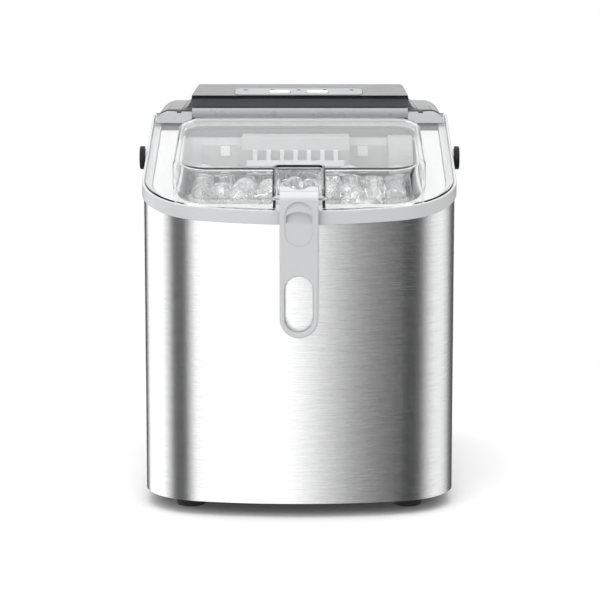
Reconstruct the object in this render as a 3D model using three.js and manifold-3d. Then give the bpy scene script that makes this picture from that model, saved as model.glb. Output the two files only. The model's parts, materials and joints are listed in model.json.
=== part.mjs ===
// A countertop bullet-ice maker. Millimetres, +Z up, the front faces -Y.
// The origin is under the middle of the whole object, on the surface that it stands on.
import * as THREE from "three";
import Module from "manifold-3d";
import { mergeVertices } from "three/addons/utils/BufferGeometryUtils.js";

const wasm = await Module();
wasm.setup();

// ---- driving dimensions -------------------------------------------------------------------
const GAP = 0.3; // between pieces that touch on the real object
const FRONT_Y = -147; // the foremost line of the steel
const HALF_WIDTH = 111; // of the steel body
const CORNER_RADIUS = 50; // front corners, seen from above
const REAR_RADIUS = 22; // rear corners
const BOW_ANGLE = THREE.MathUtils.degToRad(12.6); // where the front bow leaves the corner arc
const DEPTH = 285; // steel front to rear panel
const STEEL_BOTTOM = 10;
const RIM_FRONT_Z = 208.5; // the steel's top edge at the front
const RIM_SLOPE = 0.277; // it climbs this much per mm towards the rear
const RIM_END = 187; // distance from the front where the slope ends
const REAR_SEAM_Z = RIM_FRONT_Z + RIM_SLOPE * RIM_END;
const BEZEL_HEIGHT = 10;
const BEZEL_PROUD = 1.4;
const LID_TOP = 10.6; // flange top above the rim line
const LID_FLANGE = 3;
const LID_HINGE = { y: 182, z: 270, radius: 5 };
const DOME_HALF = 90;
const DOME_FRONT = 20;
const DOME_REAR = 155;
const STRAP_AXIS = { y: 5, z: 227 };
const HANDLE_AXIS = { y: 110, z: 244.2 };
const HANDLE_DROP = THREE.MathUtils.degToRad(8); // below level when folded back
const HANDLE_REACH = 187.887;
const ARM_INNER = 113.6;
const ARM_THICK = 3.7;
const TUB_HALF = 89;
const TUB_FRONT = 16;
const TUB_REAR = 163;
const TUB_FLOOR_Z = 58;
const COMB_X = -3; // the evaporator group sits a little left of the middle
const TRAY_AXIS = { y: 138, z: 206 };
const TRAY_RADIUS = 20;
const FAN = { x: -46, z: 98, radius: 35 };

// ---- helpers ------------------------------------------------------------------------------
const root = new THREE.Group();
const atY = (distance) => FRONT_Y + distance;
const rimZ = (distance) => RIM_FRONT_Z + RIM_SLOPE * distance;

function solid(geometry) {
  const plain = geometry.index ? geometry.toNonIndexed() : geometry.clone();
  plain.deleteAttribute("normal");
  plain.deleteAttribute("uv");
  const merged = mergeVertices(plain, 1e-4);
  return new wasm.Manifold(
    new wasm.Mesh({
      numProp: 3,
      vertProperties: new Float32Array(merged.attributes.position.array),
      triVerts: new Uint32Array(merged.index.array),
    }),
  );
}

function joined(...parts) {
  return parts.reduce((whole, part) => whole.add(part));
}

function cut(whole, ...parts) {
  return parts.reduce((rest, part) => rest.subtract(part), whole);
}

function common(...parts) {
  return parts.reduce((whole, part) => whole.intersect(part));
}

function addNode(name, shape, color, roughness, metalness, parent = root) {
  const data = shape.getMesh();
  const geometry = new THREE.BufferGeometry();
  geometry.setAttribute("position", new THREE.BufferAttribute(new Float32Array(data.vertProperties), 3));
  geometry.setIndex(new THREE.BufferAttribute(new Uint32Array(data.triVerts), 1));
  geometry.computeVertexNormals();
  const material = new THREE.MeshStandardMaterial({ color, roughness, metalness });
  const mesh = new THREE.Mesh(geometry, material);
  mesh.name = name;
  parent.add(mesh);
  return mesh;
}

// A block between two corners, given as [x, distance from the front, z].
function block(low, high) {
  const size = high.map((value, i) => value - low[i]);
  const geometry = new THREE.BoxGeometry(...size);
  geometry.translate(low[0] + size[0] / 2, atY(low[1] + size[1] / 2), low[2] + size[2] / 2);
  return solid(geometry);
}

// A shape drawn in plan (x, distance), raised from one height to another.
function raised(shape, bottom, top, curveSegments = 6) {
  const settings = { depth: top - bottom, bevelEnabled: false, curveSegments };
  const geometry = new THREE.ExtrudeGeometry(shape, settings);
  geometry.translate(0, FRONT_Y, bottom);
  return solid(geometry);
}

// A side outline of [distance, z] points, carried across from one x to another.
function across(points, low, high) {
  const shape = new THREE.Shape(points.map(([distance, z]) => new THREE.Vector2(distance, z)));
  const geometry = new THREE.ExtrudeGeometry(shape, { depth: high - low, bevelEnabled: false });
  geometry.applyMatrix4(new THREE.Matrix4().set(0, 0, 1, low, 1, 0, 0, FRONT_Y, 0, 1, 0, 0, 0, 0, 0, 1));
  return solid(geometry);
}

// A front outline of [x, z] points, carried back from one distance to another.
function carriedBack(points, near, far) {
  const shape = new THREE.Shape(points.map(([x, z]) => new THREE.Vector2(x, z)));
  const geometry = new THREE.ExtrudeGeometry(shape, { depth: far - near, bevelEnabled: false });
  geometry.applyMatrix4(new THREE.Matrix4().set(1, 0, 0, 0, 0, 0, -1, atY(far), 0, 1, 0, 0, 0, 0, 0, 1));
  return solid(geometry);
}

function cylinder(axis, center, radius, length, segments = 24) {
  const geometry = new THREE.CylinderGeometry(radius, radius, length, segments);
  if (axis === "x") geometry.rotateZ(Math.PI / 2);
  if (axis === "z") geometry.rotateX(Math.PI / 2);
  geometry.translate(center[0], atY(center[1]), center[2]);
  return solid(geometry);
}

function turned(profile, center, segments = 24) {
  const geometry = new THREE.LatheGeometry(profile.map(([r, h]) => new THREE.Vector2(r, h)), segments);
  geometry.rotateX(Math.PI / 2);
  geometry.translate(center[0], atY(center[1]), center[2]);
  return solid(geometry);
}

// A round tube through [x, distance, z] points.
function pipe(points, radius, steps, sides = 8) {
  const path = new THREE.CatmullRomCurve3(points.map(([x, y, z]) => new THREE.Vector3(x, atY(y), z)));
  const section = new THREE.Shape();
  section.absarc(0, 0, radius, 0, Math.PI * 2);
  const settings = { extrudePath: path, steps, bevelEnabled: false, curveSegments: sides / 2 };
  return solid(new THREE.ExtrudeGeometry(section, settings));
}

// The band between two offsets above the sloping rim line.
function rimBand(low, high, near = -10, far = RIM_END) {
  const points = [
    [near, rimZ(near) + low],
    [far, rimZ(far) + low],
    [far, rimZ(far) + high],
    [near, rimZ(near) + high],
  ];
  return across(points, -130, 130);
}

// The body's plan, moved inwards all round by an inset.
function bodyPlan(inset = 0, depth = DEPTH, rearRadius = REAR_RADIUS) {
  const half = HALF_WIDTH - inset;
  const radius = CORNER_RADIUS - inset;
  const cornerX = HALF_WIDTH - CORNER_RADIUS;
  const arcEndX = cornerX + CORNER_RADIUS * Math.sin(BOW_ANGLE);
  const bow = (arcEndX * Math.tan(BOW_ANGLE)) / 2;
  const cornerY = bow + CORNER_RADIUS * Math.cos(BOW_ANGLE);
  const endX = cornerX + radius * Math.sin(BOW_ANGLE);
  const endY = cornerY - radius * Math.cos(BOW_ANGLE);
  const rear = depth - inset;
  const round = Math.max(rearRadius - inset, 0.5);
  const shape = new THREE.Shape();
  shape.moveTo(-half + round, rear);
  shape.absarc(-half + round, rear - round, round, Math.PI / 2, Math.PI);
  shape.lineTo(-half, cornerY);
  shape.absarc(-cornerX, cornerY, radius, Math.PI, Math.PI * 1.5 - BOW_ANGLE);
  shape.quadraticCurveTo(0, endY - endX * Math.tan(BOW_ANGLE), endX, endY);
  shape.absarc(cornerX, cornerY, radius, -Math.PI / 2 + BOW_ANGLE, 0);
  shape.lineTo(half, rear - round);
  shape.absarc(half - round, rear - round, round, 0, Math.PI / 2);
  shape.closePath();
  return shape;
}

function roundedPlan(half, near, far, frontRadius, rearRadius = frontRadius, centerX = 0) {
  const left = centerX - half;
  const right = centerX + half;
  const shape = new THREE.Shape();
  shape.moveTo(left + frontRadius, near);
  shape.lineTo(right - frontRadius, near);
  shape.absarc(right - frontRadius, near + frontRadius, frontRadius, -Math.PI / 2, 0);
  shape.lineTo(right, far - rearRadius);
  shape.absarc(right - rearRadius, far - rearRadius, rearRadius, 0, Math.PI / 2);
  shape.lineTo(left + rearRadius, far);
  shape.absarc(left + rearRadius, far - rearRadius, rearRadius, Math.PI / 2, Math.PI);
  shape.lineTo(left, near + frontRadius);
  shape.absarc(left + frontRadius, near + frontRadius, frontRadius, Math.PI, Math.PI * 1.5);
  return shape;
}

// ---- body shell ---------------------------------------------------------------------------
const WRAP_REAR = 262;
{
  const height = REAR_SEAM_Z + 5;
  const outer = raised(bodyPlan(0), STEEL_BOTTOM, height);
  const inner = raised(bodyPlan(1.2), STEEL_BOTTOM - 1, height + 1);
  const side = across(
    [[-10, 5], [WRAP_REAR, 5], [WRAP_REAR, REAR_SEAM_Z], [RIM_END, REAR_SEAM_Z], [-10, rimZ(-10)]],
    -130,
    130,
  );
  addNode("steel_wrap", common(cut(outer, inner), side), 0xc4c5c6, 0.28, 1);
}

const VENT = { columns: [-78, -14], rows: 13, width: 56, height: 3.6, pitch: 7.6, bottom: 52 };
{
  const shell = cut(raised(bodyPlan(0), STEEL_BOTTOM, REAR_SEAM_Z), raised(bodyPlan(1.5), 5, 270));
  const rear = common(shell, block([-130, WRAP_REAR + GAP, 0], [130, 300, 300]));
  const slots = [];
  for (let row = 0; row < VENT.rows; row += 1) {
    for (const x of VENT.columns) {
      const z = VENT.bottom + row * VENT.pitch;
      slots.push(block([x, 270, z], [x + VENT.width, 300, z + VENT.height]));
    }
  }
  const inletHole = block([56, 270, 30], [88, 300, 54]);
  const spoutHole = cylinder("y", [-80, 284, 30], 7.3, 20, 20);
  addNode("rear_panel", cut(rear, ...slots, inletHole, spoutHole), 0x3a3c40, 0.5, 0.3);
}

const BASE_INSET = 1.6;
{
  const tray = raised(bodyPlan(BASE_INSET, DEPTH - 0.4), 5, 17);
  const hollow = raised(bodyPlan(BASE_INSET + 2.4, DEPTH - 0.4), 8, 20);
  addNode("base_pan", cut(tray, hollow), 0x141415, 0.6, 0);
}

for (const [name, x, distance] of [
  ["foot_front_left", -78, 42],
  ["foot_front_right", 78, 42],
  ["foot_rear_left", -82, 246],
  ["foot_rear_right", 82, 246],
]) {
  addNode(name, turned([[0, 0], [10, 0], [11.5, 4.7], [0, 4.7]], [x, distance, 0], 20), 0x101010, 0.85, 0);
}

// ---- top bezel, inner frame ---------------------------------------------------------------
const BEZEL_INNER = 0.5;
{
  const rim = cut(raised(bodyPlan(-BEZEL_PROUD), 190, 290), raised(bodyPlan(BEZEL_INNER), 180, 300));
  const ledge = cut(raised(bodyPlan(0), 190, 290), raised(bodyPlan(6), 180, 300));
  const upper = common(rim, rimBand(GAP, BEZEL_HEIGHT));
  const lower = common(ledge, rimBand(GAP, 5.8));
  const bosses = [-1, 1].map((side) =>
    cylinder("x", [side * (HALF_WIDTH + 0.9), HANDLE_AXIS.y, HANDLE_AXIS.z], 6.2, 2.8, 20),
  );
  const bores = [-1, 1].map((side) =>
    cylinder("x", [side * HALF_WIDTH, HANDLE_AXIS.y, HANDLE_AXIS.z], 2.4 + GAP, 16, 12),
  );
  const sockets = [-1, 1].map((side) =>
    block(
      side < 0 ? [-HALF_WIDTH, 102, 238.9] : [105, 102, 238.9],
      side < 0 ? [-105, 118, 250] : [HALF_WIDTH, 118, 250],
    ),
  );
  const holders = common(joined(...sockets), rimBand(GAP, 5.8));
  const bezel = cut(joined(upper, lower, ...bosses, holders), ...bores);
  const bottom = rimBand(-30, GAP);
  addNode("top_bezel", cut(bezel, bottom), 0xb9babc, 0.3, 0.9);
}

const DECK_START = 160;
{
  const plate = raised(bodyPlan(6.3), 190, 280);
  const opening = raised(roundedPlan(86, 19, 200, 22, 1), 180, 290);
  const frame = common(cut(plate, opening), rimBand(GAP, 5.8, -10, DECK_START));
  addNode("inner_frame", frame, 0xe9e9e6, 0.45, 0);
}

// ---- liner, insulation, basket ------------------------------------------------------------
const TUB_WALL = 2.4;
{
  const outer = raised(roundedPlan(TUB_HALF, TUB_FRONT, TUB_REAR, 25, 12), TUB_FLOOR_Z, 290);
  const innerPlan = roundedPlan(TUB_HALF - TUB_WALL, TUB_FRONT + TUB_WALL, TUB_REAR - TUB_WALL, 22.6, 9.6);
  const inner = raised(innerPlan, TUB_FLOOR_Z + TUB_WALL, 300);
  const below = rimBand(-200, 0, -10, 200);
  const drain = cylinder("z", [-72, 148, TUB_FLOOR_Z], 5.4, 10, 16);
  const rails = [-1, 1].map((side) =>
    block(side < 0 ? [-87.5, 34, 97] : [76, 34, 97], side < 0 ? [-76, 100, 103.7] : [87.5, 100, 103.7]),
  );
  const stemProfile = [[0, 59], [5, 59], [5, 63], [1.8, 63], [1.8, 94], [3.2, 94], [3.2, 96], [0, 96]];
  const floatStem = turned(stemProfile, [50, 138, 0], 14);
  const tub = cut(common(cut(outer, inner), below), drain);
  addNode("inner_liner", joined(tub, ...rails, floatStem), 0xd9dadb, 0.5, 0);
}
{
  const outer = raised(bodyPlan(1.6, 171, 12), 50, 290);
  const clear = GAP + 0.1;
  const tubPlan = roundedPlan(TUB_HALF + clear, TUB_FRONT - clear, TUB_REAR + clear, 25, 12);
  const inner = raised(tubPlan, TUB_FLOOR_Z - clear, 300);
  const below = rimBand(-200, -1, -10, 200);
  const drain = cylinder("z", [-72, 148, TUB_FLOOR_Z], 9, 30, 16);
  addNode("insulation", cut(common(cut(outer, inner), below), drain), 0xe8e2cf, 0.9, 0);
}

const BASKET = { half: 82.5, near: 23, far: 110, bottom: 104, wall: 2 };
{
  const { half, near, far, bottom, wall } = BASKET;
  const outer = raised(roundedPlan(half, near, far, 18, 8), bottom, 280);
  const inner = raised(roundedPlan(half - wall, near + wall, far - wall, 16, 6), bottom + wall, 290);
  const below = rimBand(-200, -3, -10, 200);
  const rearLow = block([-62, far - 6, 168], [62, far + 5, 290]);
  const drains = [];
  for (let column = 0; column < 7; column += 1) {
    const x = -66 + column * 22;
    drains.push(block([x - 4, near + 18, bottom - 5], [x + 4, far - 14, bottom + 5]));
  }
  const basket = cut(common(cut(outer, inner), below), rearLow, ...drains);
  addNode("ice_basket", basket, 0xeef1f3, 0.35, 0);
}
// ---- evaporator, tray, shovel -------------------------------------------------------------
const FINGER_PITCH = 9.2;
{
  const plate = block([COMB_X - 44, 125, 228.2], [COMB_X + 44, 151, 234]);
  const fingers = [];
  for (let column = -4; column <= 4; column += 1) {
    const x = COMB_X + column * FINGER_PITCH;
    const profile = [[0, 194], [2, 194.6], [3, 197], [3.2, 229], [0, 229]];
    fingers.push(turned(profile, [x, TRAY_AXIS.y, 0], 10));
  }
  addNode("evaporator", joined(plate, ...fingers), 0xb8bcc0, 0.3, 1);
}
{
  const outside = [[121, 234.6], [157, 234.6], [157, 256], [130, 256], [121, 247]];
  const inside = [[123, 230], [155, 230], [155, 254], [130.8, 254], [123, 246]];
  const top = across(outside, COMB_X - 40, COMB_X + 40);
  const room = across(inside, COMB_X - 38, COMB_X + 38);
  const slots = [];
  for (let column = -3; column <= 3; column += 1) {
    const x = COMB_X + column * 9.9;
    slots.push(block([x - 2, 115, 238], [x + 2, 124, 244]));
  }
  addNode("evaporator_cover", cut(top, room, ...slots), 0xd5d8db, 0.4, 0);
}
{
  const bar = block([COMB_X - 36, 112.5, 236], [COMB_X + 36, 116.5, 240]);
  const tines = [];
  for (let column = -3; column <= 3; column += 1) {
    const x = COMB_X + column * 9.9;
    tines.push(block([x - 1.6, 112.5, 238], [x + 1.6, 116.5, 247.5]));
    tines.push(block([x - 1.2, 114, 236.8], [x + 1.2, 120.6, 239.2]));
  }
  addNode("ice_guard_comb", joined(bar, ...tines), 0xe4e6e8, 0.4, 0);
}
{
  const { y, z } = TRAY_AXIS;
  const length = 92;
  const drum = cylinder("x", [COMB_X, y, z], TRAY_RADIUS, length, 28);
  const shell = cut(drum, cylinder("x", [COMB_X, y, z], 18, 88, 28));
  const lower = common(shell, block([-100, 100, z - 30], [100, 170, z + 2]));
  const pins = [-1, 1].map((side) => cylinder("x", [COMB_X + side * 48, y, z], 2.5, 6, 12));
  const ends = [-1, 1].map((side) => cylinder("x", [COMB_X + side * 45, y, z], 8, 2, 20));
  addNode("water_tray", joined(lower, ...pins, ...ends), 0xdfe3e6, 0.35, 0);
}
{
  const arm = block([-58, 132, 196], [-54.5, 144, 216]);
  const foot = block([-86.2, 132, 196], [-54.5, 144, 199]);
  const bore = cylinder("x", [-56, TRAY_AXIS.y, TRAY_AXIS.z], 2.9, 10, 12);
  const short = block([-54.5, 132, 200], [-52.6, 144, 212]);
  addNode("tray_bracket", cut(joined(arm, foot, short), bore), 0xd0d3d6, 0.45, 0);
}
{
  const box = block([49.6, 126, 192], [68, 150, 220]);
  const bore = cylinder("x", [49, TRAY_AXIS.y, TRAY_AXIS.z], 2.9, 9, 12);
  addNode("tray_motor", cut(box, bore), 0x2b2c2e, 0.5, 0.2);
}
{
  const outline = [[120, 224.6]];
  for (let step = 0; step <= 8; step += 1) {
    const turn = (step / 8) * (Math.PI / 2);
    outline.push([146 - 26 * Math.cos(turn), 228 + 27 * Math.sin(turn)]);
  }
  outline.push([157, 255], [157, 224.6]);
  addNode("tray_motor_cover", across(outline, 66, 84), 0xc9ccd0, 0.4, 0);
}
{
  const floor = across([[113, 172], [156, 178], [156, 175], [113, 169]], -50, 44);
  const rear = block([-50, 153.4, 175], [44, 156, 190]);
  const fixings = [-1, 1].map((side) =>
    side < 0 ? block([-86.2, 126, 172.4], [-49, 140, 175]) : block([43, 126, 172.4], [86.2, 140, 175]),
  );
  addNode("ice_chute", joined(floor, rear, ...fixings), 0xd5d8db, 0.4, 0);
}
{
  const tines = [];
  for (let column = -4; column <= 4; column += 1) {
    const x = COMB_X + column * FINGER_PITCH;
    tines.push(block([x - 2.6, 146, 178], [x + 2.6, 149, 183.6]));
  }
  const bar = block([COMB_X - 40, 146, 182.4], [COMB_X + 40, 149, 185]);
  addNode("ice_shovel", joined(bar, ...tines), 0xc8ccd0, 0.4, 0);
}
addNode("shovel_motor", block([-76, 124, 148], [-58, 152, 170]), 0x2b2c2e, 0.5, 0.2);

// ---- rear wall of the ice room, with the two ice-full windows -----------------------------
const SENSOR_X = [-56, 47.5]; // windows of the ice-full sensors
{
  const wall = block([-74, 158, 190], [74, 160.2, 247]);
  const pockets = SENSOR_X.map((x) => block([x - 4.2, 150, 242.7 - 4.2], [x + 4.2, 170, 242.7 + 4.2]));
  addNode("ice_room_wall", cut(wall, ...pockets), 0xd9dadb, 0.45, 0);
}
for (const [name, x] of [["ice_sensor_left", SENSOR_X[0]], ["ice_sensor_right", SENSOR_X[1]]]) {
  addNode(name, block([x - 3.8, 156.6, 238.9], [x + 3.8, 160, 246.5]), 0xffffff, 0.3, 0);
}

// ---- water path ---------------------------------------------------------------------------
const PUMP_PROFILE = [[0, 62], [16, 62], [16, 84], [11, 90], [0, 90]];
addNode("water_pump", turned(PUMP_PROFILE, [-58, 137, 0], 20), 0x1d1f22, 0.5, 0);
{
  const route = [
    [-58, 137, 92.4],
    [-66, 141, 106],
    [-80, 147, 127],
    [-81, 149, 170],
    [-80, 149, 200],
    [-68, 147, 222],
  ];
  addNode("pump_hose", pipe(route, 3.2, 18), 0xe6eef0, 0.3, 0);
}
{
  const ring = cut(cylinder("z", [50, 138, 73], 9, 14, 20), cylinder("z", [50, 138, 73], 2.3, 20, 12));
  addNode("water_float", ring, 0x222222, 0.7, 0);
}
{
  const route = [
    [-72, 148, 57],
    [-72, 149, 44],
    [-74, 158, 33],
    [-79, 180, 30],
    [-80, 215, 30],
    [-80, 264, 30],
  ];
  addNode("drain_hose", pipe(route, 4.8, 18), 0xdfe5e8, 0.4, 0);
}
{
  const body = cylinder("y", [-80, 276, 30], 6.8, 22, 20);
  const bore = cylinder("y", [-80, 282, 30], 4.6, 34, 16);
  addNode("drain_spout", cut(body, bore), 0x222326, 0.6, 0);
}
{
  const head = cylinder("y", [-80, 290, 30], 9, 4, 20);
  const plug = cylinder("y", [-80, 284, 30], 4.2, 12, 16);
  addNode("drain_cap", joined(head, plug), 0x151515, 0.7, 0);
}

// ---- refrigeration ------------------------------------------------------------------------
const COMPRESSOR = { x: 50, y: 219 };
{
  const profile = [[0, 24], [40, 24], [43, 28], [43, 74], [45, 75], [45, 79], [43, 80], [43, 106]];
  for (let step = 1; step <= 5; step += 1) {
    const turn = (step / 5) * (Math.PI / 2);
    profile.push([23 + 20 * Math.cos(turn), 106 + 18 * Math.sin(turn)]);
  }
  profile.push([0, 124]);
  addNode("compressor", turned(profile, [COMPRESSOR.x, COMPRESSOR.y, 0], 28), 0x101112, 0.45, 0.4);
}
{
  const plate = block([4, 173, 20.4], [98, 265, 23.6]);
  const legs = [];
  for (const x of [14, 88]) {
    for (const distance of [183, 255]) legs.push(cylinder("z", [x, distance, 14.5], 5, 12.2, 12));
  }
  addNode("compressor_mount", joined(plate, ...legs), 0x8c8f93, 0.5, 0.8);
}
{
  const outline = [[-88, 44]];
  const fins = 16;
  const pitch = 80 / fins;
  for (let fin = 0; fin < fins; fin += 1) {
    const x = -88 + fin * pitch;
    outline.push([x, 150], [x + 1.6, 150], [x + 1.6, 50], [x + pitch, 50]);
  }
  outline.push([-8, 150], [-6, 150], [-6, 44]);
  const headers = [-89.5, -4.5].map((x) => block([x - 2, 207, 48], [x + 2, 225, 148]));
  addNode("condenser", joined(carriedBack(outline, 204, 228), ...headers), 0x9a9da1, 0.4, 0.9);
}
{
  const frame = block([-88, 232, 56], [-4, 256, 140]);
  const hole = cylinder("y", [FAN.x, 240, FAN.z], FAN.radius + 3, 60, 32);
  const bars = [-1, 1].map((side) => {
    const z = FAN.z + side * 7;
    return block([-86, 252.6, z - 2.5], [-6, 255.6, z + 2.5]);
  });
  addNode("fan_shroud", joined(cut(frame, hole), ...bars), 0x1b1c1e, 0.6, 0);
}
addNode("fan_motor", cylinder("y", [FAN.x, 266.5, FAN.z], 15, 21, 24), 0x3a3b3d, 0.5, 0.5);
{
  const hub = cylinder("y", [FAN.x, 243.5, FAN.z], 11, 13, 20);
  const shaft = cylinder("y", [FAN.x, 253, FAN.z], 1.6, 6, 10);
  const blades = [];
  for (let blade = 0; blade < 7; blade += 1) {
    const vane = new THREE.BoxGeometry(17, 1.6, FAN.radius - 9);
    vane.rotateZ(0.5);
    vane.translate(0, 0, 9 + (FAN.radius - 9) / 2);
    vane.rotateY((blade / 7) * Math.PI * 2);
    vane.translate(FAN.x, atY(243.5), FAN.z);
    blades.push(solid(vane));
  }
  addNode("fan_blade", joined(hub, shaft, ...blades), 0x111214, 0.5, 0);
}
addNode(
  "filter_drier",
  turned([[0, 136], [3, 136], [9, 144], [9, 190], [3, 198], [0, 198]], [8, 188, 0], 16),
  0xb87340,
  0.35,
  1,
);
const DISCHARGE_ROUTE = [
  [48, 219, 127],
  [42, 216, 148],
  [10, 208, 162],
  [-30, 206, 165],
  [-72, 210, 164],
  [-94, 216, 156],
  [-97, 216, 140],
  [-97, 216, 126],
];
const SUCTION_ROUTE = [[64, 210, 128], [74, 202, 152], [70, 190, 190], [50, 179, 214], [44, 175, 234]];
addNode("discharge_pipe", pipe(DISCHARGE_ROUTE, 2.6, 22), 0xb87340, 0.3, 1);
addNode("suction_pipe", pipe(SUCTION_ROUTE, 3, 16), 0xb87340, 0.3, 1);

// ---- rear cover, controls -----------------------------------------------------------------
const PLATEAU_Z = 284;
const PLATEAU_SLOPE = 0.075;
const plateauZ = (distance) => PLATEAU_Z + PLATEAU_SLOPE * (distance - 190);
const COVER_BOTTOM = REAR_SEAM_Z + GAP;
const LUG = { x: 92.1, width: 3.2, radius: 4.3 }; // carries a pin of the lid
const SHOULDER_Z = 273.5; // the cover's lower sides

// Half of the cover's front outline from the middle to the side, lowered by an inset.
function coverSection(inset) {
  const half = [[0, 320], [80 - inset, 320], [80 - inset, 288.5 - inset], [83 - inset, 284 - inset]];
  for (let step = 1; step <= 4; step += 1) {
    const turn = (step / 4) * (Math.PI / 2);
    const fall = (PLATEAU_Z - SHOULDER_Z) * Math.sin(turn);
    half.push([91 - 8 * Math.cos(turn) - inset, PLATEAU_Z - fall - inset]);
  }
  for (let step = 0; step <= 4; step += 1) {
    const turn = (step / 4) * (Math.PI / 2);
    const rise = (SHOULDER_Z - 262 - inset) * Math.cos(turn);
    half.push([99 + (12 - inset) * Math.sin(turn), 262 + rise]);
  }
  half.push([HALF_WIDTH - inset, 240]);
  const left = half.slice(1).reverse().map(([x, z]) => [-x, z]);
  return carriedBack([...left, ...half], 150, 300);
}

// The cover seen from the side: hollow front face, gently rising top, rounded rear edge.
function coverProfile(inset) {
  const outline = [[187.6 + inset, 240], [187.6 + inset, 272]];
  for (let step = 1; step <= 4; step += 1) {
    const turn = (step / 4) * (Math.PI / 2);
    const setBack = 3.4 * (1 - Math.cos(turn));
    outline.push([187.6 + inset + setBack, 272 + (PLATEAU_Z - 272 - inset) * Math.sin(turn)]);
  }
  outline.push([250, plateauZ(250) - inset]);
  for (let step = 1; step <= 6; step += 1) {
    const turn = (step / 6) * (Math.PI / 2);
    const drop = (plateauZ(250) - inset - 266) * Math.cos(turn);
    outline.push([250 + (35 - inset) * Math.sin(turn), 266 + drop]);
  }
  outline.push([DEPTH - inset, 240]);
  return across(outline, -130, 130);
}

const STRIP = { half: 49, near: 192.5, far: 223.5, x: -1 };
const BUTTONS = [["button_power", -15.5], ["button_select", 13.5]];
const BUTTON_Y = 203;
const LENS_Y = 215.5;
const LENS_X = [-42, -21.5, -1, 19.5, 40];
const buttonHole = (x) => block([x - 8.4, BUTTON_Y - 4.4, 260], [x + 8.4, BUTTON_Y + 4.4, 300]);
{
  const outer = common(raised(bodyPlan(0), COVER_BOTTOM, 300), coverSection(0), coverProfile(0));
  const inner = common(raised(bodyPlan(2.4), COVER_BOTTOM - 5, 298), coverSection(2.4), coverProfile(2.4));
  const shell = cut(outer, inner);
  const ledge = common(raised(bodyPlan(6.3), 230, 300), rimBand(GAP, 4.4, DECK_START + GAP, 188.2));
  // Slim round lugs carry the lid's pins, one beyond each end of the lid's barrel.
  const lugs = [-1, 1].map((side) => {
    const eye = cylinder("x", [side * LUG.x, LID_HINGE.y, LID_HINGE.z], LUG.radius, LUG.width, 20);
    const low = side * LUG.x - LUG.width / 2;
    const neck = block([low, LID_HINGE.y - 2.4, 261], [low + LUG.width, 190, LID_HINGE.z + 2.4]);
    return joined(eye, neck);
  });
  const bores = cylinder("x", [0, LID_HINGE.y, LID_HINGE.z], 2.3, 210, 12);
  const recessPlan = roundedPlan(STRIP.half + GAP, STRIP.near - GAP, STRIP.far + GAP, 4, 4, STRIP.x);
  const recess = raised(recessPlan, 200, 300);
  const recessBand = across(
    [[180, plateauZ(180) - 1.4], [230, plateauZ(230) - 1.4], [230, 300], [180, 300]], -60, 60,
  );
  const holes = BUTTONS.map(([, x]) => buttonHole(x));
  const lensHoles = LENS_X.map((x) => cylinder("z", [x, LENS_Y, 285], 1.9, 20, 10));
  const seat = common(recess, recessBand);
  const cover = cut(joined(shell, ledge, ...lugs), bores, seat, ...holes, ...lensHoles);
  addNode("rear_top_cover", cover, 0x4a4c50, 0.4, 0.1);
}
{
  const plate = raised(roundedPlan(STRIP.half, STRIP.near, STRIP.far, 3.7, 3.7, STRIP.x), 270, 300);
  const band = across(
    [
      [180, plateauZ(180) - 1.1],
      [230, plateauZ(230) - 1.1],
      [230, plateauZ(230) + 0.5],
      [180, plateauZ(180) + 0.5],
    ],
    -60,
    60,
  );
  const holes = BUTTONS.map(([, x]) => buttonHole(x));
  const lensHoles = LENS_X.map((x) => cylinder("z", [x, LENS_Y, 285], 1.9, 20, 10));
  addNode("control_strip", cut(common(plate, band), ...holes, ...lensHoles), 0xc9cacc, 0.35, 0.8);
}
for (const [name, x] of BUTTONS) {
  const cap = block([x - 8, BUTTON_Y - 4, 281], [x + 8, BUTTON_Y + 4, plateauZ(BUTTON_Y) + 1.6]);
  const collar = block([x - 9.4, BUTTON_Y - 5.4, 279.2], [x + 9.4, BUTTON_Y + 5.4, 280.6]);
  const stem = cylinder("z", [x, BUTTON_Y, 277.5], 2, 5, 10);
  const neck = block([x - 4, BUTTON_Y - 2, 279.2], [x + 4, BUTTON_Y + 2, 282]);
  addNode(name, joined(cap, collar, stem, neck), 0xf4f4f4, 0.35, 0);
}
{
  const bar = block([-46, LENS_Y - 2.5, 279.5], [44, LENS_Y + 2.5, 281.5]);
  const postTop = plateauZ(LENS_Y) + 0.9;
  const postLow = 281;
  const posts = LENS_X.map((x) => {
    return cylinder("z", [x, LENS_Y, (postLow + postTop) / 2], 1.6, postTop - postLow, 10);
  });
  addNode("indicator_light_bar", joined(bar, ...posts), 0x2c3a4a, 0.25, 0);
}
addNode("control_board", block([-58, 196, 268.4], [56, 240, 270]), 0x1f5b34, 0.5, 0);

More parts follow.
